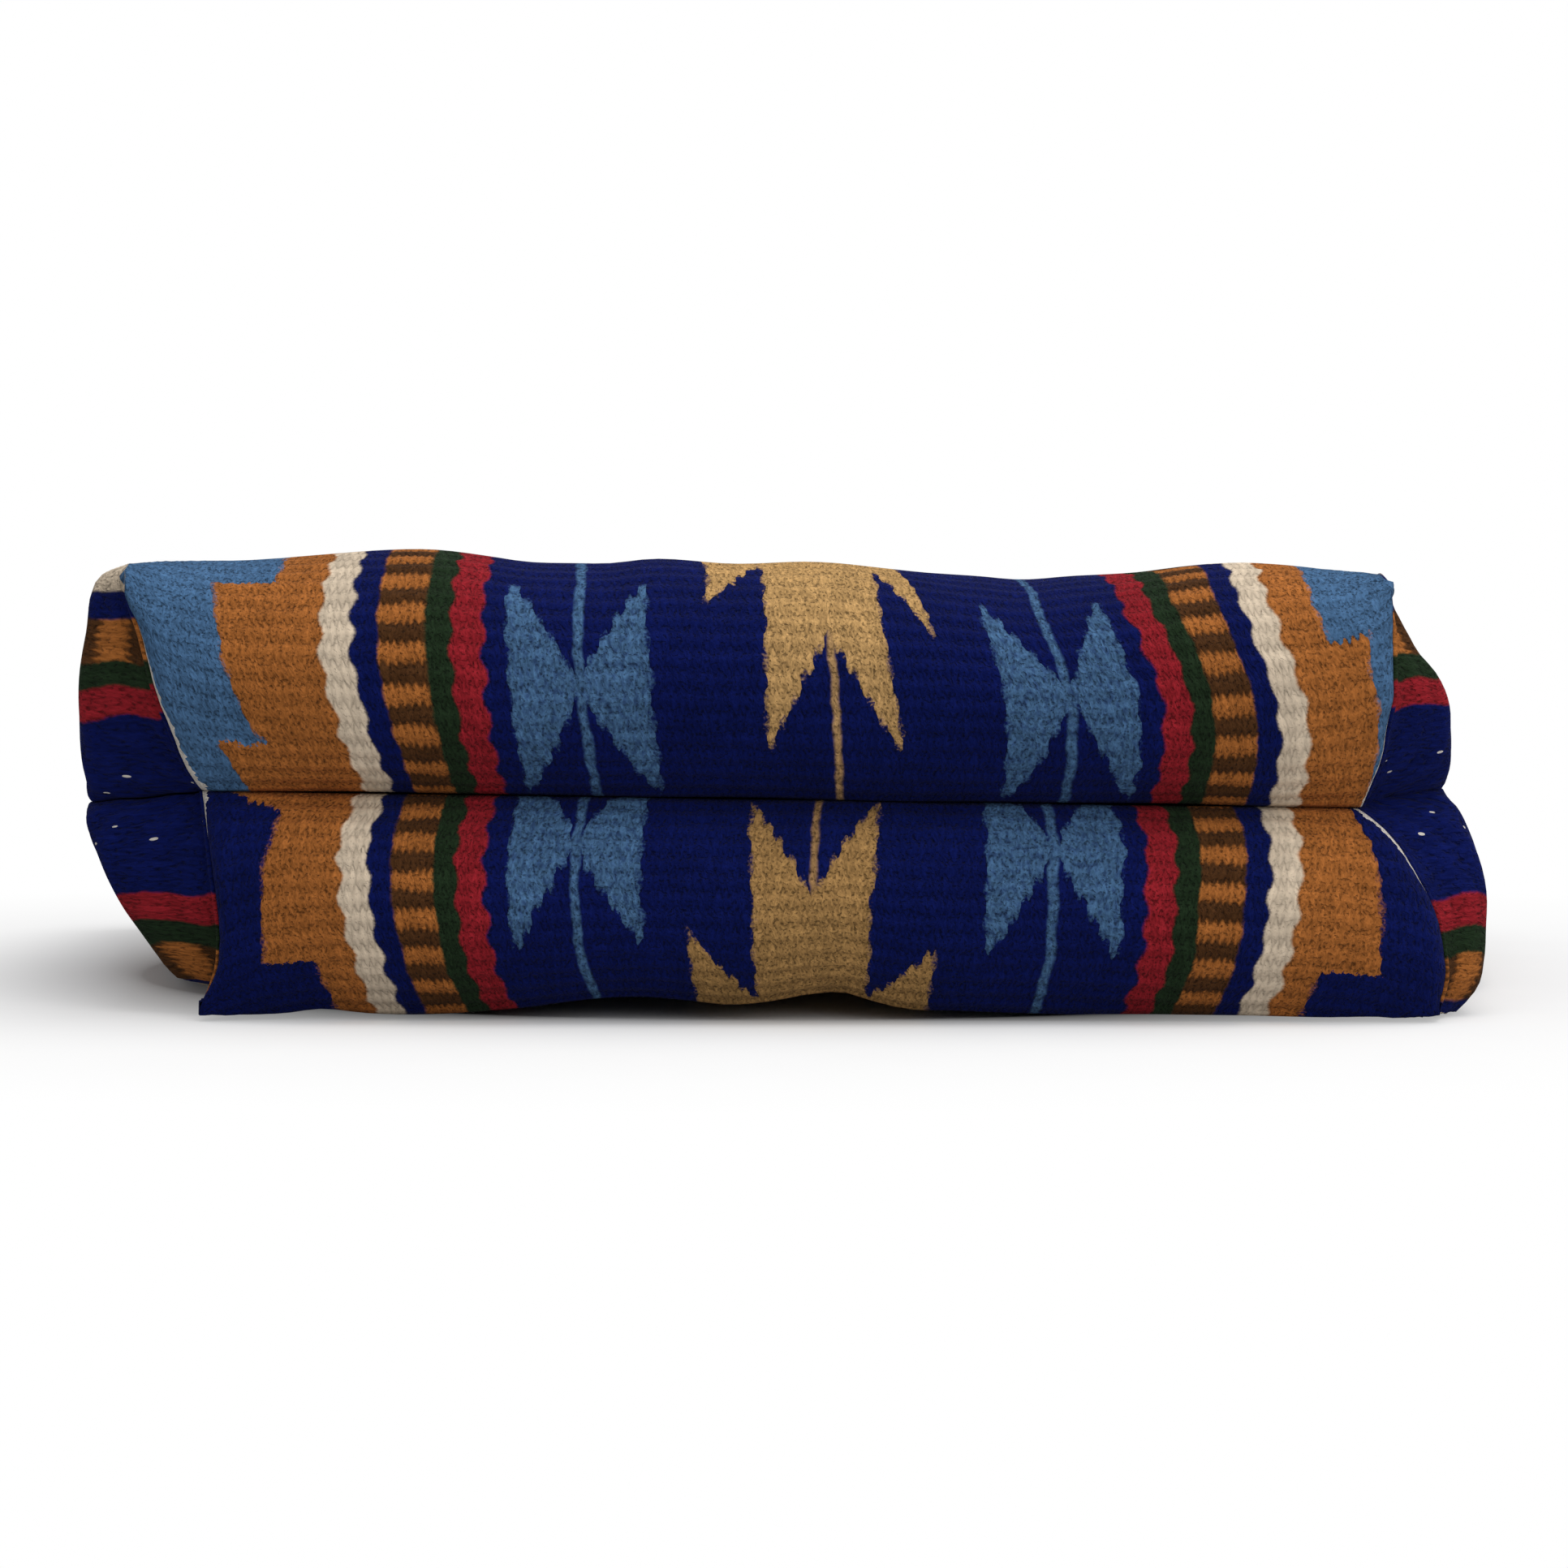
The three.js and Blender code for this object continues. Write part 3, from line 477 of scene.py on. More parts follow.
def undulation(cloth):
    """Slow unevenness of hand-woven cloth."""
    u, v = cloth[..., 0], cloth[..., 1]
    return (0.35 * np.sin(u * 0.071 + v * 0.043) + 0.3 * np.sin(u * 0.038 - v * 0.097 + 1.3)
            + 0.25 * np.sin(u * 0.123 + 0.7) * np.sin(v * 0.081 + 2.1))


def woven_shell(points, cloth, rise, crease, side):
    """Vertices, faces and cloth places of one layer of cloth with its thickness, ridged on the outside."""
    normal = surface_normals(points, crease) * side
    ridge = RIDGE * (0.5 - 0.5 * np.cos(2 * math.pi * cloth[..., 1] / PITCH)) + undulation(cloth)
    outer = points + normal * (ridge * rise)[..., None]
    outer[..., 2] = np.maximum(outer[..., 2], 0.0)
    inner = points - normal * CLOTH
    inner[..., 1] += TURN_IN * np.clip(1 - np.arange(len(points)) / STEADY_ROW, 0, 1)[:, None] * crease
    inner[..., 2] = np.maximum(inner[..., 2], INNER_FLOOR)
    rows, columns = points.shape[:2]
    count = rows * columns
    index = np.arange(count).reshape(rows, columns)
    quads = np.stack([index[:-1, :-1], index[:-1, 1:], index[1:, 1:], index[1:, :-1]], -1).reshape(-1, 4)
    rim = np.concatenate([index[0], index[1:, -1], index[-1, -2::-1], index[-2:0:-1, 0]])
    after = np.roll(rim, -1)
    edge = np.stack([after, rim, rim + count, after + count], -1)
    faces = np.concatenate([quads, quads[:, ::-1] + count, edge])
    if side < 0:
        faces = faces[:, ::-1]
    vertices = np.concatenate([outer.reshape(-1, 3), inner.reshape(-1, 3)])
    places = np.concatenate([cloth.reshape(-1, 3)] * 2)
    return vertices, faces, places, (rows, columns, len(rim))


def in_box(box, share):
    low, high = np.array(box[:2]), np.array(box[2:])
    return low + share * (high - low)


def bake_places(grid, faces, side, outer_box, inner_box, rim_box):
    """Places of each face corner on the bake square, for the outside, the inside and the rim."""
    rows, columns, rim = grid
    down, across = np.meshgrid(np.linspace(0, 1, rows), np.linspace(0, 1, columns), indexing="ij")
    share = np.stack([across, down], -1).reshape(-1, 2)
    corners = np.concatenate([in_box(outer_box, share), in_box(inner_box, share)])[faces]
    steps = np.linspace(0, 1, rim + 1)
    strip = np.stack([np.stack([steps[1:], steps[:-1], steps[:-1], steps[1:]], -1),
                      np.tile([0.0, 0.0, 1.0, 1.0], (rim, 1))], -1)
    if side < 0:
        strip = strip[:, ::-1]
    corners[-rim:] = in_box(rim_box, strip)
    return corners.reshape(-1, 2)


def linked(name, data):
    made = bpy.data.objects.new(name, data)
    bpy.context.scene.collection.objects.link(made)
    return made


def mesh_object(name, vertices, faces, smooth_shaded=True):
    mesh = bpy.data.meshes.new(name)
    mesh.from_pydata((np.asarray(vertices) * MM).tolist(), [], [list(map(int, face)) for face in faces])
    mesh.polygons.foreach_set("use_smooth", [smooth_shaded] * len(mesh.polygons))
    mesh.update()
    return linked(name, mesh)


# Boxes on the bake square for the outside, the inside and the rim of the face and of the bottom
FACE_BOXES = ((0.005, 0.005, 0.995, 0.5), (0.005, 0.73, 0.995, 0.93), (0.005, 0.96, 0.995, 0.965))
BOTTOM_BOXES = ((0.005, 0.51, 0.73, 0.72), (0.75, 0.51, 0.995, 0.72), (0.005, 0.975, 0.995, 0.98))


def woven_panel(name, look, material):
    panel = Panel(look)
    vertices, faces, places, baked, start = [], [], [], [], 0
    for patch, boxes in ((panel.body(), FACE_BOXES), (panel.bottom(), BOTTOM_BOXES)):
        shell_vertices, shell_faces, shell_places, grid = woven_shell(*patch, panel.side)
        baked.append(bake_places(grid, shell_faces, panel.side, *boxes))
        vertices.append(shell_vertices)
        faces.append(shell_faces + start)
        places.append(shell_places)
        start += len(shell_vertices)
    made = mesh_object(name, np.concatenate(vertices), np.concatenate(faces))
    mesh = made.data
    attribute = mesh.attributes.new("cloth", "FLOAT_VECTOR", "POINT")
    attribute.data.foreach_set("vector", np.concatenate(places).astype(np.float32).ravel())
    layer = mesh.uv_layers.new(name="OFBake")
    layer.data.foreach_set("uv", np.concatenate(baked).astype(np.float32).ravel())
    mesh.materials.append(material)
    return made


def linear(red, green, blue):
    """A colour given as it looks on screen, from 0 to 255."""
    shares = [part / 255 for part in (red, green, blue)]
    return tuple(s / 12.92 if s <= 0.04045 else ((s + 0.055) / 1.055) ** 2.4 for s in shares) + (1.0,)


DARK_BLUE = linear(10, 20, 76)
LIGHT_BLUE = linear(69, 102, 138)
ORANGE = linear(158, 96, 46)
TAN = linear(182, 144, 93)
# A darker copy of the tan for the back panel, which lies in shade below the front: painted shade.
SHADED_TAN = linear(161, 124, 76)
RED = linear(138, 31, 39)
GREEN = linear(30, 45, 28)
BROWN = linear(73, 46, 25)
CREAM = linear(200, 183, 161)
PALE_FIBRE = linear(218, 211, 202)
NAVY_TAPE = linear(30, 30, 62)
BLUE_THREAD = linear(44, 44, 118)
BRIGHT_BRASS = linear(186, 150, 84)
DULL_BRASS = linear(140, 104, 52)


class Value:
    """A number that changes over a surface. Sums on it add Math nodes."""

    def __init__(self, nodes, socket):
        self.nodes = nodes
        self.socket = socket

    def math(self, operation, *others):
        return self.nodes.math(operation, self, *others)

    def flipped(self, operation, other):
        return self.nodes.math(operation, other, self)

    __add__ = __radd__ = partialmethod(math, "ADD")
    __sub__ = partialmethod(math, "SUBTRACT")
    __rsub__ = partialmethod(flipped, "SUBTRACT")
    __mul__ = __rmul__ = partialmethod(math, "MULTIPLY")
    __truediv__ = partialmethod(math, "DIVIDE")
    __rtruediv__ = partialmethod(flipped, "DIVIDE")
    __pow__ = partialmethod(math, "POWER")
    __abs__ = partialmethod(math, "ABSOLUTE")
    __gt__ = partialmethod(math, "GREATER_THAN")
    __lt__ = partialmethod(math, "LESS_THAN")
    floor = partialmethod(math, "FLOOR")
    cosine = partialmethod(math, "COSINE")
    sine = partialmethod(math, "SINE")
    at_least = partialmethod(math, "MAXIMUM")
    at_most = partialmethod(math, "MINIMUM")

    def past(self, edge, blur=EDGE_BLUR):
        """0 below an edge and 1 above it, with a soft step between."""
        sockets = {"Value": self, "From Min": edge - blur / 2, "From Max": edge + blur / 2}
        return self.nodes.value(self.nodes.node("MapRange", {"interpolation_type": "SMOOTHSTEP"}, sockets))

    def under(self, edge, blur=EDGE_BLUR):
        return self.past(edge, -blur)


class Nodes:
    """A tree of shader nodes, cleared and built anew."""

    def __init__(self, tree):
        self.tree = tree
        self.tree.nodes.clear()

    def node(self, kind, settings=None, sockets=None):
        made = self.tree.nodes.new("ShaderNode" + kind)
        for name, setting in (settings or {}).items():
            if name == "stops":
                elements = made.color_ramp.elements
                while len(elements) < len(setting):
                    elements.new(1.0)
                for element, (position, colour) in zip(elements, setting):
                    element.position = position
                    element.color = colour
            else:
                setattr(made, name, setting)
        for name, given in (sockets or {}).items():
            socket = next(s for s in made.inputs if name in (s.identifier, s.name))
            given = given.socket if isinstance(given, Value) else given
            if isinstance(given, bpy.types.NodeSocket):
                self.tree.links.new(given, socket)
            else:
                socket.default_value = given
        return made

    def value(self, made, output=0):
        return Value(self, made.outputs[output])

    def math(self, operation, *inputs):
        sockets = dict(zip(("Value", "Value_001"), inputs))
        return self.value(self.node("Math", {"operation": operation}, sockets))

    def mix(self, first, second, share):
        made = self.node("Mix", {"data_type": "RGBA"},
                         {"Factor_Float": share, "A_Color": first, "B_Color": second})
        return next(output for output in made.outputs if output.identifier == "Result_Color")

    def vector(self, x, y, z=0.0):
        return self.node("CombineXYZ", None, {"X": x, "Y": y, "Z": z}).outputs[0]

    def parts(self, vector):
        """The x, y and z of a vector."""
        made = self.node("SeparateXYZ", None, {"Vector": vector})
        return [self.value(made, name) for name in "XYZ"]

    def channels(self, colour):
        """The red, green and blue of a colour."""
        made = self.node("SeparateColor", None, {"Color": colour})
        return [self.value(made, name) for name in ("Red", "Green", "Blue")]

    def scaled(self, colour, light):
        return self.node("VectorMath", {"operation": "SCALE"}, {"Vector": colour, "Scale": light}).outputs[0]

    def object_place(self):
        return self.node("TexCoord").outputs["Object"]

    def noise_node(self, vector, scale, detail):
        return self.node("TexNoise", None, {"Vector": vector, "Scale": scale, "Detail": detail})

    def noise(self, vector, scale, detail=2.0):
        return self.value(self.noise_node(vector, scale, detail), "Fac")

    def noise_channels(self, vector, scale, detail):
        return self.channels(self.noise_node(vector, scale, detail).outputs["Color"])

    def seen_directly(self):
        """1 where the camera sees a surface directly, in a gloss or through glass."""
        path = self.node("LightPath")
        rays = [self.value(path, name) for name in ("Is Camera Ray", "Is Glossy Ray", "Is Transmission Ray")]
        return rays[0].at_least(rays[1]).at_least(rays[2])


class Finish(Nodes):
    """A material, built from nodes."""

    def __init__(self, name):
        self.material = bpy.data.materials.new(name)
        self.material.use_nodes = True
        super().__init__(self.material.node_tree)

    def shade(self, colour, bump_height, settings, bump_depth):
        bump = self.node("Bump", None, {"Height": bump_height, "Distance": bump_depth, "Strength": 1.0})
        sockets = {"Base Color": colour, "Normal": bump.outputs[0], **settings}
        shader = self.node("BsdfPrincipled", None, sockets)
        self.node("OutputMaterial", None, {"Surface": shader.outputs[0]})
        return self.material


# Pairs are for the left and the right. Edges give the distance from the star's middle along the
# cloth and the left and right edge.
FRONT_PATTERN = {
    "star": 88.5,
    "first_ridge": 0,
    "corner": LIGHT_BLUE,
    "tan": TAN,
    "barb_out": (26.4, 21.5),
    "barb_grow": (0.0, 0.18),
    "barb_in": (18.0, 20.0),
    "barb_slope": (1.35, 1.7),
    "edge_line": ((3.6, 38), (1.6, 26)),
    "edges": [(0, 125, 123), (31, 124, 123), (31.6, 138, 123), (40, 136.5, 123), (47, 135.4, 123),
              (47.8, 135.3, 132.6), (52, 135.2, 130.2), (57, 135, 129), (61, 135, 129.3),
              (66, 133.6, 129.6), (72.2, 130.5, 129.4), (72.8, 142, 129.4), (78, 140.5, 129.4),
              (84, 139, 129.4), (90, 139, 129.4)],
}
BACK_PATTERN = {
    "star": 71.5,
    "first_ridge": 1,
    "corner": DARK_BLUE,
    # The back's star uses the darker copy of the tan: painted shade.
    "tan": SHADED_TAN,
    "barb_out": (29.0, 28.4),
    "barb_grow": (0.0, 0.0),
    "barb_in": (13.0, 12.0),
    "barb_slope": (1.35, 1.35),
    "edge_line": ((3.0, 14), (2.7, 20)),
    "edges": [(0, 121, 120.5), (28, 122.2, 120.6), (28.6, 133.4, 120.6), (29, 133.3, 120.6),
              (29.6, 133.2, 133.6), (34, 132, 132.9), (43, 131.1, 131.5), (50, 130.2, 130.7),
              (58, 128.4, 129.3), (64, 128.2, 128.2), (66, 132, 127.6), (70, 140, 127), (90, 140, 127)],
}
HALF_REPEAT = 56.0  # from a star to the hourglass beside it, along the cloth
STAR_HALF = 13.6
STAR_NOTCH = 43.0
STAR_WIDEN = 0.06
NOTCH_SLOPE = 0.575
BARB_FOOT = 13
BARB_START = 17
STEM_MIDDLE = 0.5
STEM_HALF = 0.8
STEM_SHARE = 0.85  # the stem lets some of the field show through
HOURGLASS_MIDDLE = 55.3
HOURGLASS_HALF = 15.4
HOURGLASS_LENGTH = 24.5
HOURGLASS_SLOPE = 0.52
NEAR_SLOPE = 0.07  # how much faster its notch opens on the side towards the star
LINE_SHIFT = 0.3
LINE_HALF = 1.05

# Where the stripes begin outwards from the axis, and where those of the sides end from the side seam
RED_START = 76
GREEN_START = 83
CHECK_START = 89
BLUE_START = 100
CREAM_START = 106
ORANGE_START = 113
SIDE_CREAM = 58.6
SIDE_BLUE = 51
SIDE_CHECK = 44
SIDE_GREEN = 33
SIDE_RED = 27
SIDE_FIELD = 20

# The ramp of edges: the length it covers, and the width and start that its colours stand for
EDGE_SPAN = 90.0
EDGE_WIDTH = 50
EDGE_START = 100

# Unevenness of the yarn
WANDER_SCALE = 0.16
WANDER_ACROSS = 2.2
WANDER_ALONG = 2.6
FUZZ_SCALE = 1.3
FUZZ = 1.8
STRIPE_FUZZ = 0.8
WHOLE_YARN = 0.6  # how much of an edge across the cloth follows whole yarns
WHOLE_RIDGE = 0.45  # how much of an edge along the cloth follows whole ridges

# Lint, which gathers beside the bottom end of the side seams
LINT_SCALE = 0.3
LINT_CHANCE = 0.22
STRAY_CHANCE = 0.0006
LINT_REACH = 8
LINT_END = 78


def wool(name, pattern):
    f = Finish(name)
    cloth = f.node("Attribute", {"attribute_name": "cloth"})
    flat_across, flat_along, rim = f.parts(cloth.outputs["Vector"])

    # Hand-spun yarn lies unevenly, so the places wander a little over the cloth.
    shift_across, shift_along, _ = f.noise_channels(f.vector(flat_across, flat_along), WANDER_SCALE, 3.0)
    across = flat_across + (shift_across - 0.5) * WANDER_ACROSS
    along = flat_along + (shift_along - 0.5) * WANDER_ALONG

    # Yarns: each lies over one warp and locks between the yarns over the next.
    turn = along * (math.pi / PITCH)
    lock = (across * (2 * math.pi / GRAIN) - math.pi).cosine() * turn.cosine()
    ridge = along / PITCH + lock * LOCK
    row = ridge.floor()
    odd = (row * 0.5 - (row * 0.5).floor()) * 2
    place = across / GRAIN + odd * 0.5
    column = place.floor()
    over, wide = ridge - row, place - column

    # Loose fibres make every edge between two colours ragged.
    hairs, tufts, pores = f.noise_channels(f.vector(across, along), FUZZ_SCALE, 2.0)
    yarn_middle = (column + 0.5 - odd * 0.5) * (GRAIN * WHOLE_YARN)
    p = yarn_middle + across * (1 - WHOLE_YARN) + (hairs - 0.5) * FUZZ
    v = (row + 0.5) * (PITCH * WHOLE_RIDGE) + along * (1 - WHOLE_RIDGE) + (tufts - 0.5) * FUZZ
    far = abs(p)
    right = p > 0

    def by_side(pair):
        return pair[0] + right * (pair[1] - pair[0]) if pair[0] != pair[1] else pair[0]

    # The star and the hourglasses repeat along the cloth.
    beyond_star = (v - pattern["star"]).at_least(0)
    t = (pattern["star"] - v).at_least(0) + beyond_star.math("PINGPONG", HALF_REPEAT)
    beyond = (t - STAR_NOTCH).at_least(0)
    star = (beyond * STAR_WIDEN + STAR_HALF - far).past(0) * (far - beyond * NOTCH_SLOPE).past(-0.4)
    barb_edge = (t - BARB_START).at_least(0) * by_side(pattern["barb_grow"]) + by_side(pattern["barb_out"])
    barb_end = (far - BARB_FOOT) * by_side(pattern["barb_slope"]) + by_side(pattern["barb_in"])
    barb = (barb_edge - far).past(0) * (barb_end - t).past(0)
    stem = abs(across - STEM_MIDDLE).under(STEM_HALF) * t.past(STAR_NOTCH) * STEM_SHARE
    tan = star.at_least(barb).at_least(stem)
    level = HALF_REPEAT - t
    out = abs(far - HOURGLASS_MIDDLE)
    slope = abs(level) * (HOURGLASS_SLOPE + (level > 0) * NEAR_SLOPE)
    hourglass = out.under(HOURGLASS_HALF) * (out - slope).past(-0.4) * level.under(HOURGLASS_LENGTH)
    blue_line = abs(abs(across) - HOURGLASS_MIDDLE + LINE_SHIFT).under(LINE_HALF)
    heather = f.noise(f.vector(across * 0.8, along * 0.5), 1.0, 2.0)
    worn = ((heather - 0.45) * 2.4).at_least(0).at_most(0.5)
    colour = f.mix(DARK_BLUE, LIGHT_BLUE, hourglass.at_least(blue_line) * (1 - worn))
    colour = f.mix(colour, pattern["tan"], tan)

    # The stripes on both sides of the field, then the orange band and the corner.
    bars = (turn + lock * (LOCK * 1.6)).sine()
    check = f.mix(BROWN, ORANGE, bars.past(0, 0.9 - 1.8 * pattern["first_ridge"]))
    ragged = (hairs - 0.5) * STRIPE_FUZZ
    sway = ragged - turn.sine() * SWAY
    lane, straight_lane = abs(across) + sway, abs(across) + ragged
    stops = [(at / EDGE_SPAN, ((left - EDGE_START) / EDGE_WIDTH, (rightmost - EDGE_START) / EDGE_WIDTH, 0, 1))
             for at, left, rightmost in pattern["edges"]]
    ramp = f.node("ValToRGB", {"stops": stops}, {"Fac": t / EDGE_SPAN})
    left_edge, right_edge, _ = f.channels(ramp.outputs["Color"])
    edge = (left_edge + right * (right_edge - left_edge)) * EDGE_WIDTH + EDGE_START
    cream = lane.past(CREAM_START)
    orange = lane.past(ORANGE_START)
    for stripe, share in ((RED, lane.past(RED_START)), (GREEN, lane.past(GREEN_START)),
                          (check, straight_lane.past(CHECK_START)),
                          (DARK_BLUE, straight_lane.past(BLUE_START)), (CREAM, cream), (ORANGE, orange),
                          (pattern["corner"], (far - edge).past(0))):
        colour = f.mix(colour, stripe, share)

    # The same stripes again beside the side seams, counted from the seam.
    q = rim - abs(across) + abs(flat_across)
    q_swayed = q + sway
    side = rim > 0
    for stripe, end, measure in ((CREAM, SIDE_CREAM, q), (DARK_BLUE, SIDE_BLUE, q), (check, SIDE_CHECK, q),
                                 (GREEN, SIDE_GREEN, q_swayed), (RED, SIDE_RED, q_swayed),
                                 (DARK_BLUE, SIDE_FIELD, q_swayed)):
        colour = f.mix(colour, stripe, side * measure.under(end))

    # Yarn by yarn unevenness, fibres along the yarn, and painted shade where a yarn dips between the warps
    # and in dark pits between the yarns.
    spot = f.node("TexWhiteNoise", {"noise_dimensions": "2D"}, {"Vector": f.vector(row, column)})
    chance = f.value(spot, "Value")
    fibres = f.noise(f.vector(across * 1.7, along * 0.9), 1.0, 4.0)
    drift = f.noise(f.vector(across * 0.03, along * 0.06), 1.0, 1.0)
    tip, flank = (over * 2 - 1) ** 2, (wide * 2 - 1) ** 2
    dome = (1 - tip) * (1 - flank * 0.5)
    pits = ((tip * 0.05 + 0.43 - pores) * 8).at_least(0).at_most(1)
    puffy = 1 - cream * (1 - orange) * 0.65
    grain = (fibres * 1.4 - 0.7 - pits * 0.4) * puffy + 1.04
    # The dome and the pits darken the colour: painted shade between the yarns.
    light = (chance * 0.24 + 0.9) * grain * (dome * 0.25 + 0.84) * (drift * 0.4 + 0.82)
    shaded = f.scaled(colour, light)

    # The pale cut edge of the cloth shows along the boxed seams, and lint clings near the side seams.
    uneven = f.noise(f.vector(flat_along * 0.5, 0.0), 1.0) * 2.0
    left_line, right_line = ((1 - flat_along / end).at_least(0) * width
                             for width, end in pattern["edge_line"])
    shows = (1 - right) * left_line + right * right_line
    shaded = f.mix(shaded, PALE_FIBRE, (rim < -0.02) * (rim + shows * uneven > 0))
    specks = f.node("TexVoronoi", {"voronoi_dimensions": "2D"},
                    {"Vector": f.vector(rim, flat_along), "Scale": LINT_SCALE})
    luck, size, _ = f.channels(specks.outputs["Color"])
    by_seam = (rim > 0.4) * (q < LINT_REACH) * (flat_along < LINT_END)
    lint = (f.value(specks, "Distance") < size * 0.06 + 0.05) * (
        luck > 1 - STRAY_CHANCE - by_seam * LINT_CHANCE)
    shaded = f.mix(shaded, PALE_FIBRE, lint)
    bump = dome * 0.25 + (fibres * 0.7 - pits * 0.4) * puffy
    return f.shade(shaded, bump, {"Roughness": 0.95, "Specular IOR Level": 0.04, "Sheen Weight": 0.02,
                                  "Sheen Roughness": 0.5}, 0.0008)


TWILL_PITCH = 1.1
WEFT_PITCH = 0.6


def tape_cotton():
    f = Finish("zip_tape_cotton")
    x, _, z = f.parts(f.object_place())
    x, z = x * 1000, z * 1000
    twill = ((x + z * 2) * (2 * math.pi / TWILL_PITCH)).cosine() * 0.5 + 0.5
    weft = (z * (2 * math.pi / WEFT_PITCH)).cosine() * 0.5 + 0.5
    grain = f.noise(f.vector(x * 0.8, z * 0.8), 1.0, 3.0)
    # The colour is darker in the twill's grooves, which is painted shade; the grain is the yarn's own
    # unevenness.
    colour = f.scaled(NAVY_TAPE[:3], (twill * 0.35 + 0.65) * (grain * 0.6 + 0.7))
    return f.shade(colour, twill * 0.7 + weft * 0.3, {"Roughness": 0.9, "Specular IOR Level": 0.2}, 0.0002)


def brass(name, worn_share):
    f = Finish(name)
    place = f.object_place()
    tarnish = f.noise(place, 260.0, 4.0)
    scratches = f.noise(place, 2400.0, 2.0)
    colour = f.mix(BRIGHT_BRASS, DULL_BRASS, (tarnish - 0.4).at_least(0) * worn_share)
    return f.shade(colour, scratches, {"Metallic": 1.0, "Roughness": tarnish * 0.25 + 0.16}, 0.00004)


def thread():
    f = Finish("sewing_thread")
    x, _, z = f.parts(f.object_place())
    twist = ((x + z) * 9000).cosine() * 0.5 + 0.5
    # The colour is darker in the grooves of the twist: painted shade.
    colour = f.scaled(BLUE_THREAD[:3], twist * 0.4 + 0.7)
    return f.shade(colour, twist, {"Roughness": 0.7}, 0.0001)


# Camera at the height and distance of the photograph
CAMERA_ELEVATION = math.radians(4)
CAMERA_DISTANCE = 1.0
SENSOR = 36
LENS = 101
AIM = Vector((0, -0.1075, 0.051))
RAISE = 0.0035  # the photograph's middle lies this far above the point aimed at


def add_camera():
    data = bpy.data.cameras.new("camera")
    data.sensor_width = SENSOR
    data.lens = LENS
    data.clip_end = 50
    camera = linked("camera", data)
    forward = Vector((0, math.cos(CAMERA_ELEVATION), -math.sin(CAMERA_ELEVATION)))
    up = Vector((0, math.sin(CAMERA_ELEVATION), math.cos(CAMERA_ELEVATION)))
    camera.location = AIM + up * RAISE - forward * CAMERA_DISTANCE
    camera.rotation_euler = (math.pi / 2 - CAMERA_ELEVATION, 0, 0)
    bpy.context.scene.camera = camera


def area_light(name, place, aim, size, power):
    data = bpy.data.lights.new(name, "AREA")
    data.shape = "RECTANGLE"
    data.size, data.size_y = size
    data.energy = power
    lamp = linked(name, data)
    lamp.location = place
    lamp.rotation_euler = (Vector(aim) - Vector(place)).to_track_quat("-Z", "Y").to_euler()


WHITE = (1, 1, 1, 1)
SKY_LIGHT = 0.42  # light from all round, where the camera sees white
FLOOR_HALF = 6000
FLOOR_HEIGHT = -0.3
FLOOR_BOUNCE = (0.5, 0.5, 0.5, 1)  # colour of the floor as the purse sees it
FLOOR_GREYS = ((0.9, 0.9, 0.9, 1), (0.94, 0.94, 0.94, 1))
SHADOW_STRETCH = (0.62, 1.0, 1.0)
SHADOW_START = 0.1  # how far from the middle, in metres, the floor begins to fade into white
SHADOW_FADE = 0.15


def add_studio():
    world = bpy.data.worlds.new("studio")
    bpy.context.scene.world = world
    world.use_nodes = True
    f = Nodes(world.node_tree)
    strength = f.seen_directly() * (1 - SKY_LIGHT) + SKY_LIGHT
    sky = f.node("Background", None, {"Color": WHITE, "Strength": strength})
    f.node("OutputWorld", None, {"Surface": sky.outputs[0]})
    area_light("lamp_above", (0.3, -0.2, 1.5), (0, -0.05, 0.03), (1.6, 1.2), 15)
    area_light("lamp_front", (0.8, -1.5, 0.8), (0, -0.1, 0.05), (1.2, 1.0), 8.5)

    corners = [(x, y, FLOOR_HEIGHT) for x, y in ((-FLOOR_HALF, -FLOOR_HALF), (FLOOR_HALF, -FLOOR_HALF),
                                                 (FLOOR_HALF, FLOOR_HALF), (-FLOOR_HALF, FLOOR_HALF))]
    floor = mesh_object("floor", corners, [(0, 1, 2, 3)], False)
    f = Finish("pale_floor")
    place = f.object_place()
    squeezed = f.node("VectorMath", {"operation": "MULTIPLY"},
                      {"Vector": place, "Vector_001": SHADOW_STRETCH})
    far = f.node("VectorMath", {"operation": "LENGTH"}, {"Vector": squeezed.outputs[0]})
    pale = f.mix(*FLOOR_GREYS, f.noise(place, 40.0, 3.0))
    colour = f.mix(FLOOR_BOUNCE, pale, f.seen_directly())
    matt = f.node("BsdfDiffuse", None, {"Color": colour})
    white = f.node("Emission", None, {"Color": WHITE, "Strength": 1.0})
    fade = ((f.value(far, "Value") - SHADOW_START) / SHADOW_FADE).at_least(0).at_most(1)
    mixed = f.node("MixShader", None, {"Fac": f.seen_directly() * fade ** 0.6, "Shader": matt.outputs[0],
                                       "Shader_001": white.outputs[0]})
    f.node("OutputMaterial", None, {"Surface": mixed.outputs[0]})
    floor.data.materials.append(f.material)
    bpy.context.scene.view_settings.view_transform = "Standard"


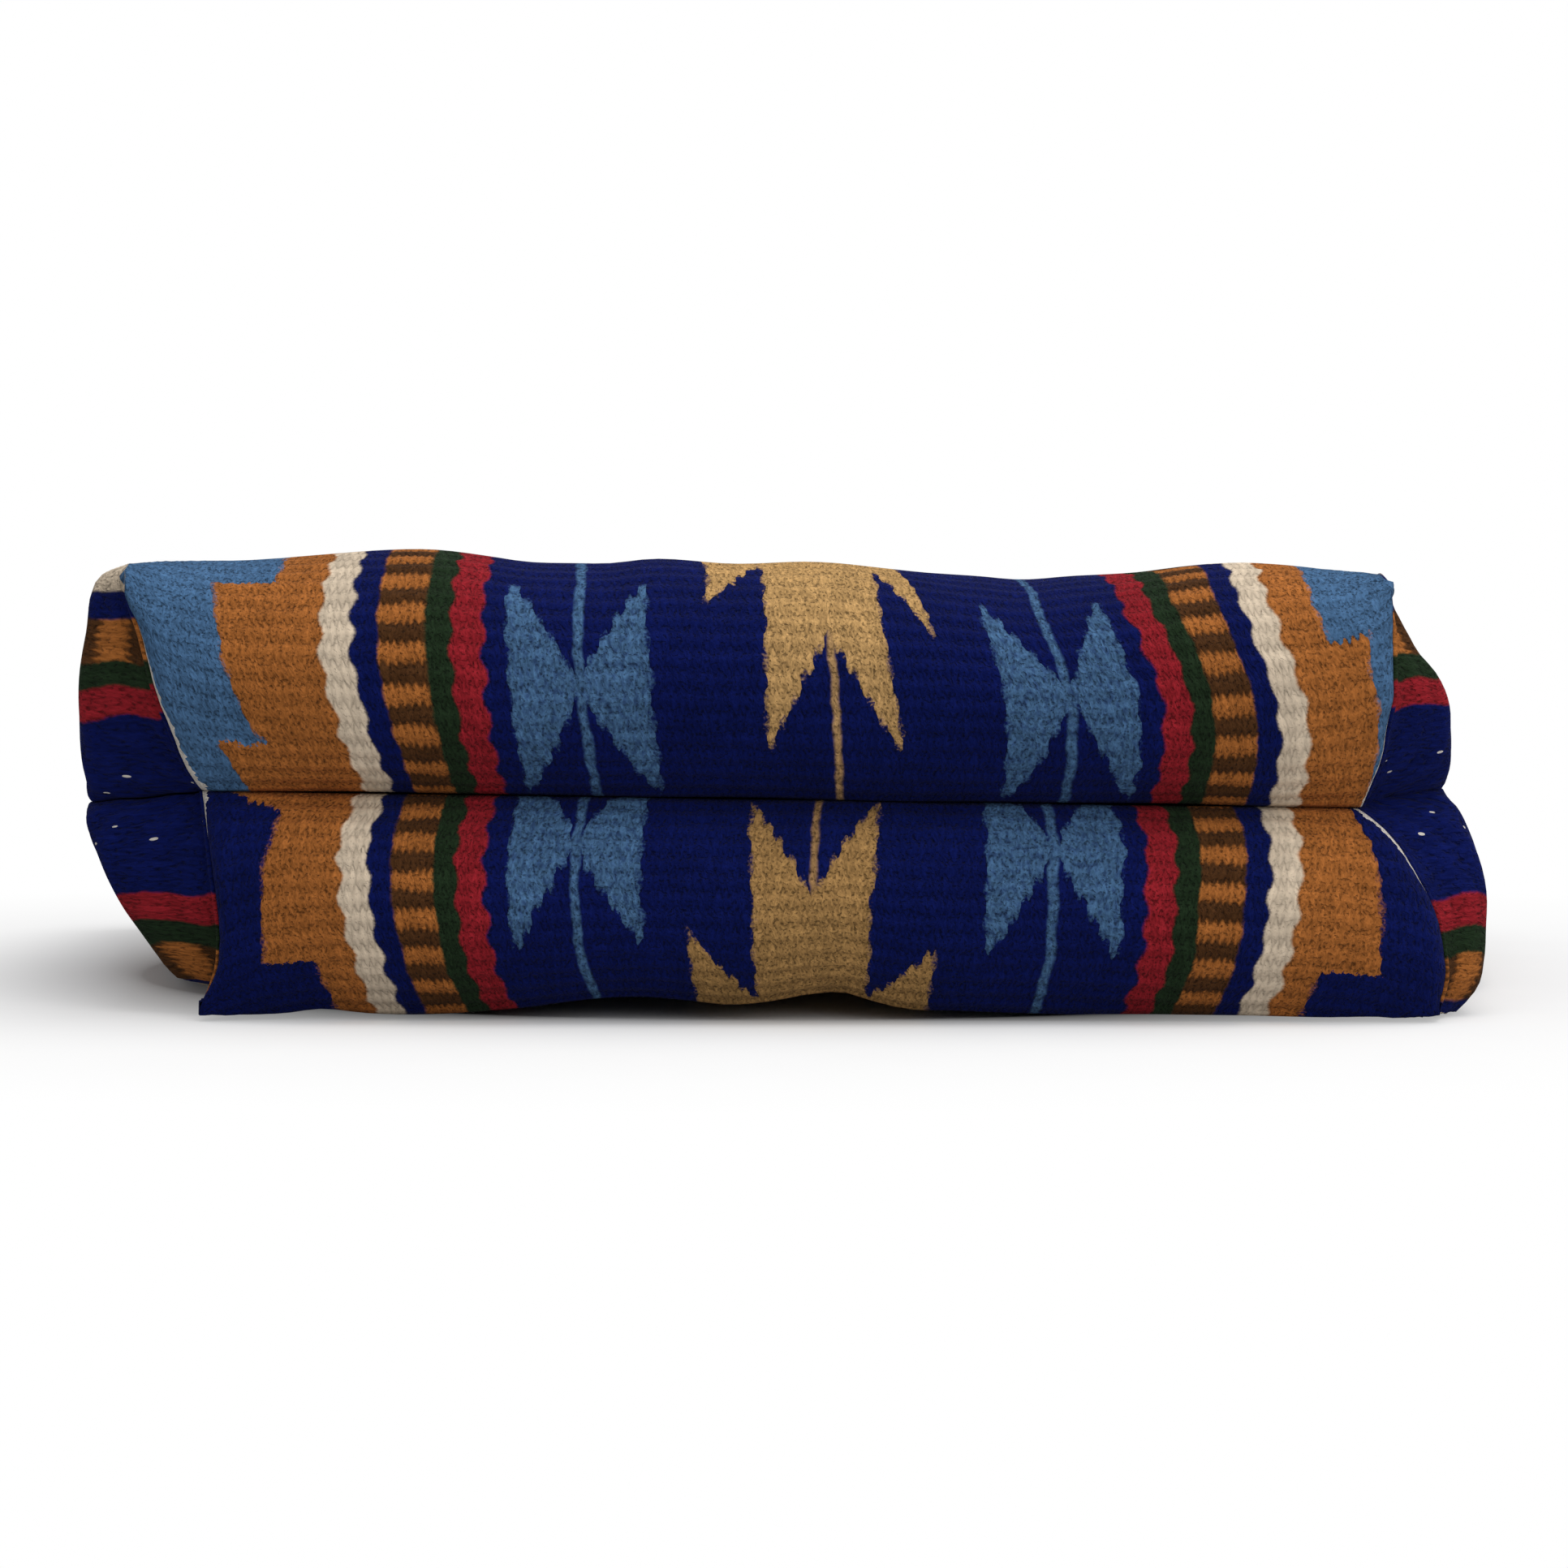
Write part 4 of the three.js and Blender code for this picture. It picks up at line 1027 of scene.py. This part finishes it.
# Zip, in millimetres around the middle of its chain
ZIP_Y = 210.2 - BODY_LENGTH / 2
CHAIN_HALF = 140.0
TAPE_HALF_LENGTH = 164.0
TAPE_EDGE = 3.5
TAPE_REACH = 11.5
TAPE_HALF = 0.4
TAPE_STATIONS = 165
CORD_WIDE = 0.55
CORD_HIGH = 0.75
CORD_END = 1.3  # width of the corded edge
TOOTH_PITCH = 4.0
FIRST_TOOTH = 2.25
TOOTH_OUTLINE = [(-0.75, 4.3), (-0.85, 2.4), (-0.5, 1.2), (-0.75, 0.2), (-0.7, -0.75), (-0.35, -1.1),
                 (0.35, -1.1), (0.7, -0.75), (0.75, 0.2), (0.5, 1.2), (0.85, 2.4), (0.75, 4.3)]
TOOTH_LEVELS = [(-1.2, 0.8), (-0.95, 1.0), (0.95, 1.0), (1.2, 0.8)]
STITCH_HALF = 148.5  # half of the row of stitches
STITCH_PITCH = 4.5
STITCH_INSET = 2.6
STITCH_RISE = 0.35
STITCH_RINGS = [(-1.5, 0.12), (-1.2, 0.34), (-0.4, 0.45), (0.4, 0.45), (1.2, 0.34), (1.5, 0.12)]
STITCH_SIDES = 8


def tube_faces(start, rings, count, flipped=False):
    """Faces of a closed tube whose rings of count vertices follow each other, with its two ends."""
    faces = []
    for ring in range(rings - 1):
        for i in range(count):
            a = start + ring * count + i
            b = start + ring * count + (i + 1) % count
            faces.append((a, a + count, b + count, b) if flipped else (a, b, b + count, a + count))
    last = start + (rings - 1) * count
    ends = tuple(range(start, start + count)), tuple(range(last, last + count))
    return faces + ([ends[0], ends[1][::-1]] if flipped else [ends[0][::-1], ends[1]])


def end_name(side):
    return "front" if side > 0 else "back"


def zip_tape(side):
    """A tape with a corded edge towards the teeth, drawn along the zip."""
    cord = [(TAPE_EDGE + CORD_WIDE - CORD_WIDE * math.cos(a), CORD_HIGH * math.sin(a))
            for a in np.linspace(-2.2, 2.2, 9)]
    profile = [(TAPE_EDGE + CORD_END, -TAPE_HALF), (TAPE_REACH, -TAPE_HALF), (TAPE_REACH, TAPE_HALF),
               (TAPE_EDGE + CORD_END, TAPE_HALF)] + cord[::-1]
    stations = np.linspace(-TAPE_HALF_LENGTH, TAPE_HALF_LENGTH, TAPE_STATIONS)
    vertices = [(x, ZIP_Y + depth, ZIP_HEIGHT + side * across)
                for x in stations for across, depth in profile]
    faces = tube_faces(0, len(stations), len(profile))
    if side < 0:
        faces = [face[::-1] for face in faces]
    return mesh_object("zip_tape_" + end_name(side) + "_woven", vertices, faces, False)


def zip_teeth(side):
    """One tooth at each pitch: a head that hooks over the other row, and legs that grip the cord."""
    count = len(TOOTH_OUTLINE)
    middle = sum(across for _, across in TOOTH_OUTLINE) / count
    first = FIRST_TOOTH - CHAIN_HALF + (0 if side > 0 else TOOTH_PITCH / 2)
    vertices, faces = [], []
    for tooth in range(int((2 * CHAIN_HALF - TOOTH_PITCH) // TOOTH_PITCH)):
        centre = first + tooth * TOOTH_PITCH
        faces += tube_faces(len(vertices), len(TOOTH_LEVELS), count)
        for depth, shrink in TOOTH_LEVELS:
            for x, across in TOOTH_OUTLINE:
                drawn = middle + (across - middle) * shrink
                vertices.append((centre + x * shrink, ZIP_Y + depth, ZIP_HEIGHT + side * drawn))
    if side > 0:
        faces = [face[::-1] for face in faces]
    return mesh_object("zip_teeth_" + end_name(side) + "_cast", vertices, faces, False)


def hem_stitches(side):
    """A row of stitches that holds the hem to the tape."""
    vertices, faces = [], []
    angles = [2 * math.pi * k / STITCH_SIDES for k in range(STITCH_SIDES)]
    for x in np.arange(-STITCH_HALF, STITCH_HALF + 0.1, STITCH_PITCH):
        faces += tube_faces(len(vertices), len(STITCH_RINGS), STITCH_SIDES, flipped=True)
        for offset, radius in STITCH_RINGS:
            for angle in angles:
                y = BODY_LENGTH / 2 + STITCH_RISE + 0.8 * radius * math.sin(angle)
                z = ZIP_HEIGHT + side * (SLOT_HALF + STITCH_INSET) + radius * math.cos(angle)
                vertices.append((x + offset, y, z))
    return mesh_object("hem_stitches_" + end_name(side), vertices, faces)


add_camera()
add_studio()

for name, look, pattern in (("front", FRONT, FRONT_PATTERN), ("back", BACK, BACK_PATTERN)):
    cloth = woven_panel(name + "_panel_woven", look, wool("woven_wool_" + name, pattern))
    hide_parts(name + "_panel")
    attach(cloth, "purse")

TAPE_FINISH = tape_cotton()
TOOTH_FINISH = brass("zip_teeth_brass", 1.2)
THREAD_FINISH = thread()
for side in (1, -1):
    for piece, finish, slot in ((zip_tape(side), TAPE_FINISH, "zip_tape"),
                                (zip_teeth(side), TOOTH_FINISH, "zip_brass"),
                                (hem_stitches(side), THREAD_FINISH, "woven_wool")):
        piece.data.materials.append(finish)
        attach(piece, "purse")
        if "tape" in piece.name:
            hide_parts("zip_tape_" + end_name(side))
        if "teeth" in piece.name:
            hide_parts("zip_teeth_" + end_name(side))

METAL_FINISH = brass("zip_brass_worn", 1.6)
for name in ("zip_slider", "zip_pull", "zip_bottom_stop", "zip_top_stop_front", "zip_top_stop_back"):
    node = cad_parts[name]
    node.data.materials.clear()
    node.data.materials.append(METAL_FINISH)
    bevel = node.modifiers.new("eased_edges", "BEVEL")
    bevel.width = 0.0002
    bevel.segments = 2
    bevel.limit_method = "ANGLE"
    bevel.angle_limit = math.radians(40)
